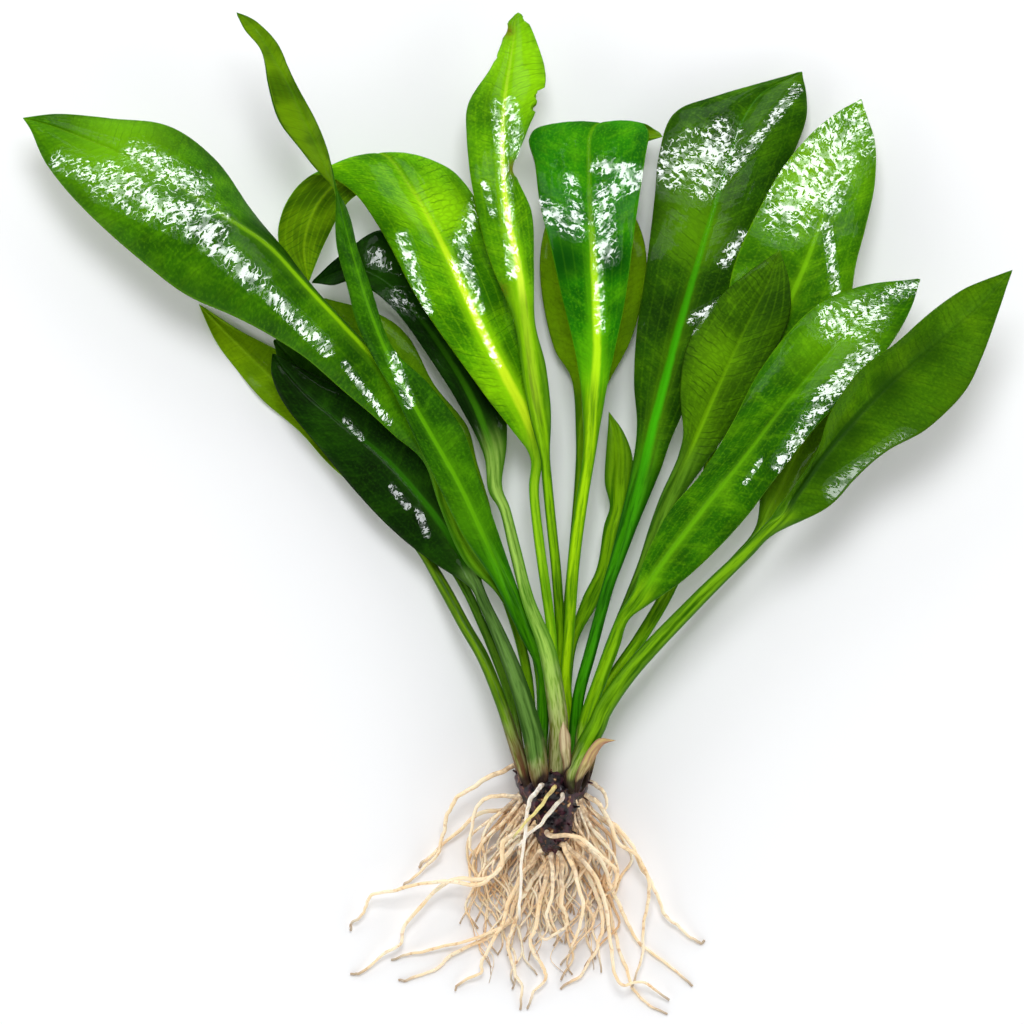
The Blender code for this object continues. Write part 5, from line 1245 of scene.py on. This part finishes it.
def new_tree(name, inputs):
    """A Geometry Nodes tree with named inputs, its group's input node and its output node."""
    tree = bpy.data.node_groups.new(name, "GeometryNodeTree")
    tree.interface.new_socket("Geometry", in_out="INPUT", socket_type="NodeSocketGeometry")
    for label, value in inputs.items():
        kind = "NodeSocketMaterial" if value is None else "NodeSocketInt" if isinstance(value, int) else "NodeSocketFloat"
        socket = tree.interface.new_socket(label, in_out="INPUT", socket_type=kind)
        if value is not None:
            socket.default_value = value
    tree.interface.new_socket("Geometry", in_out="OUTPUT", socket_type="NodeSocketGeometry")
    return tree, tree.nodes.new("NodeGroupInput"), tree.nodes.new("NodeGroupOutput")


def finish_tree(tree, geometry, material):
    """Ends a tree in Realize Instances and Set Material."""
    real = add_node(tree, "GeometryNodeRealizeInstances", {0: geometry}).outputs[0]
    coloured = add_node(tree, "GeometryNodeSetMaterial", {"Geometry": real, "Material": material}).outputs[0]
    tree.links.new(coloured, tree.nodes["Group Output"].inputs[0])


def named(tree, name, kind="FLOAT"):
    return add_node(tree, "GeometryNodeInputNamedAttribute", {"Name": name}, data_type=kind).outputs[0]


def grow(piece, tree, inputs, name):
    """The plain mesh that a tree makes of a piece. The piece itself goes."""
    modifier = piece.modifiers.new(tree.name, "NODES")
    modifier.node_group = tree
    for item in tree.interface.items_tree:
        if item.item_type == "SOCKET" and item.in_out == "INPUT" and item.name in inputs:
            modifier[item.identifier] = inputs[item.name]
    bpy.context.view_layer.update()
    evaluated = piece.evaluated_get(bpy.context.evaluated_depsgraph_get())
    mesh = bpy.data.meshes.new_from_object(evaluated)
    piece.modifiers.remove(modifier)
    bpy.data.objects.remove(piece)
    mesh.name = name
    grown = bpy.data.objects.new(name, mesh)
    bpy.context.scene.collection.objects.link(grown)
    return grown


def above_table(tree, geometry):
    """What would sink into the table lies on it instead."""
    spot = add_node(tree, "GeometryNodeInputPosition").outputs[0]
    parts = add_node(tree, "ShaderNodeSeparateXYZ", {0: spot})
    raised = maths(tree, "MAXIMUM", parts.outputs["Z"], 0.1 * MM)
    spot = add_node(tree, "ShaderNodeCombineXYZ", {0: parts.outputs["X"], 1: parts.outputs["Y"], 2: raised}).outputs[0]
    return add_node(tree, "GeometryNodeSetPosition", {"Geometry": geometry, "Position": spot}).outputs[0]


def relief_tree():
    """Veins and ripples of a blade: both of its faces move together."""
    tree, given, _ = new_tree("leaf relief", {
        "Vein Depth": 0.05 * MM, "Cross Vein Depth": 0.03 * MM, "Ripple Size": 3.6 * MM, "Ripple Height": 0.16 * MM,
        "Buckle Size": 17.0 * MM, "Buckle Height": 0.6 * MM, "Seed": 0.0, "Material": None,
    })
    share, along, across = named(tree, "share"), named(tree, "along"), named(tree, "across")
    half_width, blade = named(tree, "half_width"), named(tree, "blade")
    flat = add_node(tree, "ShaderNodeCombineXYZ", {0: along, 1: across, 2: 0.0}).outputs[0]

    def noise(size, detail, stretch):
        spread = add_node(tree, "ShaderNodeVectorMath", {0: flat, 1: stretch}, operation="MULTIPLY").outputs[0]
        scale = maths(tree, "DIVIDE", 1.0, size)
        values = {"Vector": spread, "W": given.outputs["Seed"], "Scale": scale, "Detail": detail}
        value = add_node(tree, "ShaderNodeTexNoise", values, noise_dimensions="4D").outputs[0]
        return maths(tree, "SUBTRACT", value, 0.5)

    vein = fade(tree, vein_lines(tree, share, half_width, VEIN_COUNT), 0.0, 0.8 * MM, -1.0, 0.0)
    wander = maths(tree, "MULTIPLY", noise(3.0 * MM, 1.0, (1.0, 1.0, 1.0)), CROSS_WANDER)
    crossing = cross_lines(tree, along, across, CROSS_GAP, CROSS_SLANT, wander)
    cross = fade(tree, crossing, 0.0, 0.8 * MM, -1.0, 0.0)
    height = maths(tree, "MULTIPLY", vein, given.outputs["Vein Depth"])
    height = maths(tree, "MULTIPLY_ADD", cross, given.outputs["Cross Vein Depth"], height)
    ripple = noise(given.outputs["Ripple Size"], 1.0, (1.0, 0.8, 1.0))
    height = maths(tree, "MULTIPLY_ADD", ripple, given.outputs["Ripple Height"], height)
    buckle = noise(given.outputs["Buckle Size"], 1.0, (0.7, 1.0, 1.0))
    height = maths(tree, "MULTIPLY_ADD", buckle, given.outputs["Buckle Height"], height)
    height = maths(tree, "MULTIPLY", height, blade)
    up = named(tree, "up", "FLOAT_VECTOR")
    offset = add_node(tree, "ShaderNodeVectorMath", {0: up, "Scale": height}, operation="SCALE").outputs[0]
    moved = add_node(tree, "GeometryNodeSetPosition", {"Geometry": given.outputs[0], "Offset": offset}).outputs[0]
    finish_tree(tree, above_table(tree, moved), given.outputs["Material"])
    return tree


def root_tree():
    """A knobbly tube along each curve, as thick as the curve's radius."""
    tree, given, _ = new_tree("root", {
        "Sides": 10, "Knob Size": 4.0 * MM, "Knob Height": 0.3, "Seed": 0.0, "Material": None,
    })
    length = add_node(tree, "GeometryNodeSplineParameter")
    radius = add_node(tree, "GeometryNodeInputRadius").outputs[0]
    curve = given.outputs[0]
    chance = add_node(tree, "FunctionNodeRandomValue", {"Seed": 4}, data_type="FLOAT").outputs[1]
    tone = add_node(tree, "GeometryNodeFieldOnDomain", {0: chance}, domain="CURVE", data_type="FLOAT").outputs[0]
    for label, value in (("root_share", length.outputs["Factor"]), ("root_along", length.outputs["Length"]),
                         ("root_radius", radius), ("root_tone", tone)):
        values = {"Geometry": curve, "Name": label, "Value": value}
        curve = add_node(tree, "GeometryNodeStoreNamedAttribute", values, domain="POINT").outputs[0]
    ring = add_node(tree, "GeometryNodeCurvePrimitiveCircle", {"Resolution": given.outputs["Sides"], "Radius": 1.0})
    values = {"Curve": curve, "Profile Curve": ring.outputs[0], "Fill Caps": True}
    tube_node = add_node(tree, "GeometryNodeCurveToMesh", values)
    if "Scale" in tube_node.inputs:
        tree.links.new(radius, tube_node.inputs["Scale"])
    tube = tube_node.outputs[0]
    scale = maths(tree, "DIVIDE", 1.0, given.outputs["Knob Size"])
    spot = add_node(tree, "GeometryNodeInputPosition").outputs[0]
    values = {"Vector": spot, "W": given.outputs["Seed"], "Scale": scale, "Detail": 2.0}
    knob = add_node(tree, "ShaderNodeTexNoise", values, noise_dimensions="4D").outputs[0]
    knob = maths(tree, "MULTIPLY", maths(tree, "SUBTRACT", knob, 0.5), given.outputs["Knob Height"])
    knob = maths(tree, "MULTIPLY", knob, named(tree, "root_radius"))
    knob = maths(tree, "MULTIPLY", knob, 2.0)
    normal = add_node(tree, "GeometryNodeInputNormal").outputs[0]
    offset = add_node(tree, "ShaderNodeVectorMath", {0: normal, "Scale": knob}, operation="SCALE").outputs[0]
    tube = add_node(tree, "GeometryNodeSetPosition", {"Geometry": tube, "Offset": offset}).outputs[0]
    tube = add_node(tree, "GeometryNodeSetShadeSmooth", {"Geometry": tube}).outputs[0]
    finish_tree(tree, above_table(tree, tube), given.outputs["Material"])
    return tree


def crown_tree():
    """Lumps all over the crown, with short stubs of old roots standing out of it."""
    tree, given, _ = new_tree("crown", {
        "Lump Size": 3.2 * MM, "Lump Height": 1.6 * MM, "Stub Gap": 5.5 * MM, "Stub Length": 1.8 * MM,
        "Stub Radius": 0.45 * MM, "Seed": 3, "Material": None,
    })
    scale = maths(tree, "DIVIDE", 1.0, given.outputs["Lump Size"])
    values = {"Scale": scale, "Smoothness": 0.5}
    cells = add_node(tree, "ShaderNodeTexVoronoi", values, feature="SMOOTH_F1").outputs["Distance"]
    lump = maths(tree, "MULTIPLY", maths(tree, "SUBTRACT", 0.5, cells), given.outputs["Lump Height"])
    normal = add_node(tree, "GeometryNodeInputNormal").outputs[0]
    offset = add_node(tree, "ShaderNodeVectorMath", {0: normal, "Scale": lump}, operation="SCALE").outputs[0]
    body = add_node(tree, "GeometryNodeSetPosition", {"Geometry": given.outputs[0], "Offset": offset}).outputs[0]
    spots = add_node(
        tree, "GeometryNodeDistributePointsOnFaces",
        {"Mesh": body, "Distance Min": given.outputs["Stub Gap"], "Density Max": 60000.0, "Seed": given.outputs["Seed"]},
        distribute_method="POISSON",
    )
    stub = add_node(
        tree, "GeometryNodeMeshCone",
        {"Vertices": 8, "Side Segments": 2, "Radius Top": maths(tree, "MULTIPLY", given.outputs["Stub Radius"], 0.6),
         "Radius Bottom": given.outputs["Stub Radius"], "Depth": given.outputs["Stub Length"]},
    ).outputs[0]
    stub = add_node(tree, "GeometryNodeSetShadeSmooth", {"Geometry": stub}).outputs[0]
    values = {"Points": spots.outputs[0], "Instance": stub, "Rotation": spots.outputs["Rotation"]}
    stubs = add_node(tree, "GeometryNodeInstanceOnPoints", values).outputs[0]
    stubs = add_node(tree, "GeometryNodeRealizeInstances", {0: stubs}).outputs[0]
    both = tree.nodes.new("GeometryNodeJoinGeometry")
    tree.links.new(body, both.inputs[0])
    tree.links.new(stubs, both.inputs[0])
    finish_tree(tree, above_table(tree, both.outputs[0]), given.outputs["Material"])
    return tree


# The crown's rings: place along Y, half width along X, half width along Z.
CROWN_RINGS = [
    (-26.15, 3.7, 3.3),
    (-27.2, 3.5, 3.4),
    (-28.6, 3.0, 3.0),
    (-30.2, 2.5, 2.5),
    (-31.8, 1.9, 1.9),
    (-33.2, 1.2, 1.2),
    (-34.0, 0.4, 0.4),
]
# The top is rounded, between the feet of the petioles.
CROWN_TOP = [(-24.4, 0.6, 0.4), (-24.7, 2.2, 1.5), (-25.3, 3.1, 2.2), (-26.15, 3.6, 2.8)]
CROWN_SIDES = 72
CROWN_STEPS = 7
CROWN_LOBES = 5
CROWN_LUMP = 0.05


def crown_piece():
    rings = spline(CROWN_TOP + CROWN_RINGS[1:], [CROWN_STEPS] * (len(CROWN_TOP + CROWN_RINGS) - 2))
    turn = 2 * np.pi * np.arange(CROWN_SIDES) / CROWN_SIDES
    points = []
    for number, (y, half_x, half_z) in enumerate(rings):
        lump = 1 + CROWN_LUMP * np.sin(CROWN_LOBES * turn + 1.7 * number / CROWN_STEPS)
        x = CROWN_X + half_x * lump * np.cos(turn)
        z = CROWN_Z + half_z * lump * np.sin(turn)
        points.append(np.stack([x, np.full_like(x, y), z], axis=-1))
    points = place(np.array(points))
    count = len(points)
    index = np.arange(count * CROWN_SIDES).reshape(count, CROWN_SIDES)
    after = np.roll(index, -1, axis=1)
    faces = np.stack([index[:-1], after[:-1], after[1:], index[1:]], axis=-1).reshape(-1, 4).tolist()
    faces.append(index[0, ::-1].tolist())
    faces.append(index[-1].tolist())
    mesh = bpy.data.meshes.new("crown_plain")
    mesh.from_pydata(points.reshape(-1, 3).tolist(), [], faces)
    mesh.shade_smooth()
    piece = bpy.data.objects.new("crown_plain", mesh)
    bpy.context.scene.collection.objects.link(piece)
    return piece


ROOT_BASE_RADIUS = 0.29
ROOT_TIP_RADIUS = 0.12
ROOT_STEPS = 9
# How far a root wanders from its drawn line, in squares.
ROOT_WANDER = 0.05


def root_curve(name, paths):
    """A curve object with a spline for each path of (points, first radius, last radius), in squares."""
    data = bpy.data.curves.new(name, "CURVE")
    data.dimensions = "3D"
    for points, first, last in paths:
        path = place(points)
        line = data.splines.new("POLY")
        line.points.add(len(path) - 1)
        line.points.foreach_set("co", np.hstack([path, np.ones((len(path), 1))]).ravel())
        share = np.linspace(0.0, 1.0, len(path))
        line.points.foreach_set("radius", (first + (last - first) * share ** 0.8) * SQUARE)
    piece = bpy.data.objects.new(name, data)
    bpy.context.scene.collection.objects.link(piece)
    return piece


def root_path(points, chance, wander=ROOT_WANDER):
    """A smooth line through the points that wanders a little to each side."""
    path = spline(points, [ROOT_STEPS] * (len(points) - 1))
    s = np.linspace(0, len(points) - 1, len(path))
    shift = np.zeros_like(path)
    for axis in range(2):
        for waves in (0.9, 2.1):
            shift[:, axis] += np.sin(2 * np.pi * (waves * s + chance.random())) * wander / waves
    shift[0] = 0
    return path + shift


def root_material(name, look):
    pale, tan, brown = look
    material, tree, shader = new_material(name)
    spot = add_node(tree, "ShaderNodeTexCoord").outputs["Object"]
    spot = add_node(tree, "ShaderNodeVectorMath", {0: spot, 1: (1000, 1000, 1000)}, operation="MULTIPLY").outputs[0]
    patches = cloud(tree, spot, 0.12, 2.0)
    colour = blend(tree, fade(tree, patches, 0.35, 0.65), linear(tan), linear(pale))
    dirt = cloud(tree, spot, 0.5, 3.0)
    colour = blend(tree, fade(tree, dirt, 0.54, 0.72, 0.0, 0.7), colour, linear(brown))
    # The sides are painted browner than the top, as painted shade on the round roots.
    painted_side_shade = add_node(tree, "ShaderNodeSeparateXYZ", {0: add_node(tree, "ShaderNodeTexCoord").outputs["Normal"]})
    colour = blend(tree, fade(tree, painted_side_shade.outputs["Z"], 0.0, 0.7, 0.5, 0.0), colour, linear(brown))
    tone = attribute(tree, "root_tone")
    colour = blend(tree, fade(tree, tone, 0.45, 1.0, 0.0, 0.7), colour, linear(tan))
    colour = blend(tree, fade(tree, tone, 0.75, 1.0, 0.0, 0.5), colour, linear(brown))
    # Near the crown the roots turn browner in patches: partly their own colour, partly painted shade among the crowded
    # roots.
    near_crown_brown_and_shade = fade(tree, attribute(tree, "root_along"), 6 * MM, 18 * MM, 0.5, 0.0)
    colour = blend(tree, maths(tree, "MULTIPLY", near_crown_brown_and_shade, fade(tree, dirt, 0.35, 0.6)), colour, linear((120, 82, 62)))
    share = attribute(tree, "root_share")
    colour = blend(tree, fade(tree, share, 0.88, 1.0, 0.0, 0.7), colour, linear((140, 122, 108)))
    tree.links.new(colour, shader.inputs["Base Color"])
    tree.links.new(fade(tree, dirt, 0.3, 0.7, 0.35, 0.6), shader.inputs["Roughness"])
    shader.inputs["Subsurface Weight"].default_value = 0.15
    shader.inputs["Subsurface Radius"].default_value = (1.0 * MM, 0.6 * MM, 0.4 * MM)
    grain = cloud(tree, spot, 2.5, 2.0)
    bump = add_node(tree, "ShaderNodeBump", {"Strength": 0.4, "Distance": 0.15 * MM, "Height": grain})
    tree.links.new(bump.outputs[0], shader.inputs["Normal"])
    return material


def crown_material():
    material, tree, shader = new_material("dark_rootstock")
    spot = add_node(tree, "ShaderNodeTexCoord").outputs["Object"]
    spot = add_node(tree, "ShaderNodeVectorMath", {0: spot, 1: (1000, 1000, 1000)}, operation="MULTIPLY").outputs[0]
    patches = cloud(tree, spot, 0.3, 3.0)
    colour = blend(tree, fade(tree, patches, 0.42, 0.66), linear((8, 2, 7)), linear((70, 30, 42)))
    scars = cloud(tree, spot, 0.42, 2.0)
    colour = blend(tree, fade(tree, scars, 0.58, 0.66, 0.0, 0.7), colour, linear((120, 76, 44)))
    colour = blend(tree, fade(tree, scars, 0.68, 0.74, 0.0, 0.9), colour, linear((220, 190, 130)))
    tree.links.new(colour, shader.inputs["Base Color"])
    tree.links.new(fade(tree, scars, 0.3, 0.75, 0.3, 0.55), shader.inputs["Roughness"])
    shader.inputs["Specular IOR Level"].default_value = 0.2
    shader.inputs["Coat Weight"].default_value = 0.3
    shader.inputs["Coat Roughness"].default_value = 0.12
    bump = add_node(tree, "ShaderNodeBump", {"Strength": 1.0, "Distance": 0.5 * MM, "Height": scars})
    tree.links.new(bump.outputs[0], shader.inputs["Coat Normal"])
    tree.links.new(bump.outputs[0], shader.inputs["Normal"])
    return material


def keep(piece, slot, *nodes):
    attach(piece, "root")
    if nodes:
        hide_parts(*nodes)


def main():
    relief = relief_tree()
    for number, (name, leaf) in enumerate(LEAVES.items()):
        look = LOOKS[name]
        material = leaf_material(name, look)
        plain = leaf_piece(name, leaf, material)
        inputs = {"Seed": 7.3 * number, "Material": material}
        if name.startswith("sheath"):
            inputs["Buckle Height"] = 0.2 * MM
        piece = grow(plain, relief, inputs, name + "_grown")
        keep(piece, look[6], name)

    crown = grow(crown_piece(), crown_tree(), {"Material": crown_material()}, "crown_grown")
    keep(crown, "crown", "crown")

    roots = root_tree()
    chance = np.random.default_rng(11)
    pale = root_material("pale_root", ((255, 244, 216), (252, 222, 176), (186, 128, 70)))
    white = root_material("white_root", ((250, 246, 236), (244, 234, 214), (214, 190, 150)))
    yellow = root_material("yellow_root", ((236, 224, 140), (226, 208, 130), (190, 150, 80)))
    for name, points in ROOTS.items():
        path = root_path([root_start(points[0])] + list(points), chance)
        curve = root_curve(name + "_line", [(path, ROOT_BASE_RADIUS, ROOT_TIP_RADIUS)])
        material = {"root_front_yellow": yellow, "root_front_white": white, "root_front_short": white}.get(name, pale)
        keep(grow(curve, roots, {"Material": material}, name + "_grown"), "root", name)

    fine = root_curve("fine_line", fine_roots(chance))
    keep(grow(fine, roots, {"Material": pale, "Sides": 7, "Seed": 5.0}, "fine_roots"), "root")
    stage()
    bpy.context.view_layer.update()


BUNDLE_COUNT = 56
THREAD_COUNT = 22
# The bundle's middle and half width below the crown, in squares, and over what length it spreads to that.
BUNDLE_X = 2.4
BUNDLE_HALF = 7.5
BUNDLE_SPREAD = 8.5


def root_start(point):
    """Where a root begins, inside the crown."""
    x, y, z = point
    return (x + (CROWN_X - x) * 0.4, y + 0.5, z + (CROWN_Z - z) * 0.5)


def fine_roots(chance):
    """Paths of the thin roots: a bundle that comes down from all round the crown in slow waves, and threads."""
    paths = []
    ring_y, _, ring_z = np.array(CROWN_RINGS).T
    for i in range(BUNDLE_COUNT + THREAD_COUNT):
        thread = i >= BUNDLE_COUNT
        # Spread evenly over the fan, then shaken a little.
        fan = ((i * 0.618) % 1.0) * 2 - 1 + chance.normal(0.0, 0.04)
        turn = 1.75 * fan + chance.normal(0.0, 0.15)
        top = -27.2 - (3.8 - 2.6 * fan * fan) * chance.uniform(0.2, 1.0)
        out = 0.8 * np.interp(-top, -ring_y, ring_z)
        start = np.array((CROWN_X + 1.15 * out * math.sin(turn), CROWN_Z + out * math.cos(turn)))
        bottom = chance.uniform(-43.5, -38.5) if i % 4 else chance.uniform(-48.0, -44.0)
        y = np.linspace(top, bottom, 40)
        spread = np.clip((top - y) / BUNDLE_SPREAD, 0, 1)
        spread = np.sin(spread * np.pi / 2)
        x = start[0] + (BUNDLE_X + BUNDLE_HALF * fan - start[0]) * spread
        x += (-0.9 * fan - 0.1) * np.clip((-36.5 - y) / 4.0, 0, 4)
        for size, wave in ((chance.uniform(0.6, 1.3), chance.uniform(6.5, 11.0)), (chance.uniform(0.08, 0.2), 3.1)):
            phase = chance.random()
            x += size * (np.sin(2 * np.pi * (y / wave + phase)) - math.sin(2 * np.pi * (top / wave + phase))) * spread
        rest = 0.4 + chance.uniform(0.0, 2.6) * (1 - 0.6 * fan * fan) * np.clip((y - bottom) / 9.0, 0, 1)
        z = rest + (start[1] - rest) * (1 - spread) ** 1.3
        radius = chance.uniform(0.07, 0.11) if thread else chance.uniform(0.17, 0.25)
        paths.append((np.stack([x, y, z], axis=1), radius, radius * 0.45))
    return paths


def aim(light, target):
    away = np.array(target) - np.array(light.location)
    flat = math.hypot(away[0], away[1])
    light.rotation_euler = (math.atan2(flat, -away[2]), 0.0, math.atan2(-away[0], away[1]) if flat else 0.0)


def softbox(name, location, size, power, target=(0.0, 0.0, 0.02)):
    data = bpy.data.lights.new(name, "AREA")
    data.shape = "RECTANGLE"
    data.size, data.size_y = size
    data.energy = power
    data.color = KEY_COLOUR
    light = bpy.data.objects.new(name, data)
    light.location = location
    aim(light, target)
    light.visible_camera = False
    bpy.context.scene.collection.objects.link(light)


# The picture is 1024 squares of a tenth wide, with its middle a little off the plant's.
VIEW_WIDTH = 102.4 * SQUARE
VIEW_MIDDLE = (-0.5 * SQUARE, 0.3 * SQUARE)
# The width above holds at this height; the camera is far off, as for a flat picture.
VIEW_HEIGHT = 0.022
VIEW_DISTANCE = 4.0
SENSOR = 36.0


# The studio: light walls up to a height, then a dim ceiling; heights are shares of straight up.
WALL_LIGHT = 1.55
CEILING_LIGHT = 0.1
CEILING_FROM = (0.5, 0.75)
KEY_SIZE = 1.0
KEY_POWER = 38.0
KEY_COLOUR = (0.95, 0.97, 1.0)
KEY_PLACE = (0.05, 1.15, 2.35)


def stage():
    floor_mesh = bpy.data.meshes.new("table")
    size = 6.0
    corners = [(-size, -size, 0), (size, -size, 0), (size, size, 0), (-size, size, 0)]
    floor_mesh.from_pydata(corners, [], [(0, 1, 2, 3)])
    floor = bpy.data.objects.new("table", floor_mesh)
    bpy.context.scene.collection.objects.link(floor)
    material, tree, shader = new_material("pale_table")
    spot = add_node(tree, "ShaderNodeTexCoord").outputs["Object"]
    grain = add_node(tree, "ShaderNodeTexNoise", {"Vector": spot, "Scale": 3.0, "Detail": 2.0}).outputs[0]
    tree.links.new(blend(tree, grain, (0.93, 0.93, 0.93, 1.0), (0.95, 0.95, 0.95, 1.0)), shader.inputs["Base Color"])
    shader.inputs["Roughness"].default_value = 0.8
    floor_mesh.materials.append(material)

    world = bpy.data.worlds.new("studio")
    bpy.context.scene.world = world
    world.use_nodes = True
    tree = world.node_tree
    height = add_node(tree, "ShaderNodeSeparateXYZ", {0: add_node(tree, "ShaderNodeTexCoord").outputs["Generated"]})
    wall = fade(tree, height.outputs["Z"], *CEILING_FROM, WALL_LIGHT, CEILING_LIGHT)
    tree.links.new(wall, tree.nodes["Background"].inputs["Strength"])
    tree.nodes["Background"].inputs["Color"].default_value = (1.0, 1.0, 1.0, 1.0)
    softbox("key", KEY_PLACE, (KEY_SIZE, KEY_SIZE), KEY_POWER)

    data = bpy.data.cameras.new("camera")
    data.sensor_width = SENSOR
    data.lens = SENSOR * VIEW_DISTANCE / VIEW_WIDTH
    data.clip_end = 50.0
    camera = bpy.data.objects.new("camera", data)
    camera.location = (*VIEW_MIDDLE, VIEW_HEIGHT + VIEW_DISTANCE)
    bpy.context.scene.collection.objects.link(camera)
    bpy.context.scene.camera = camera
    bpy.context.scene.view_settings.view_transform = "Standard"


main()
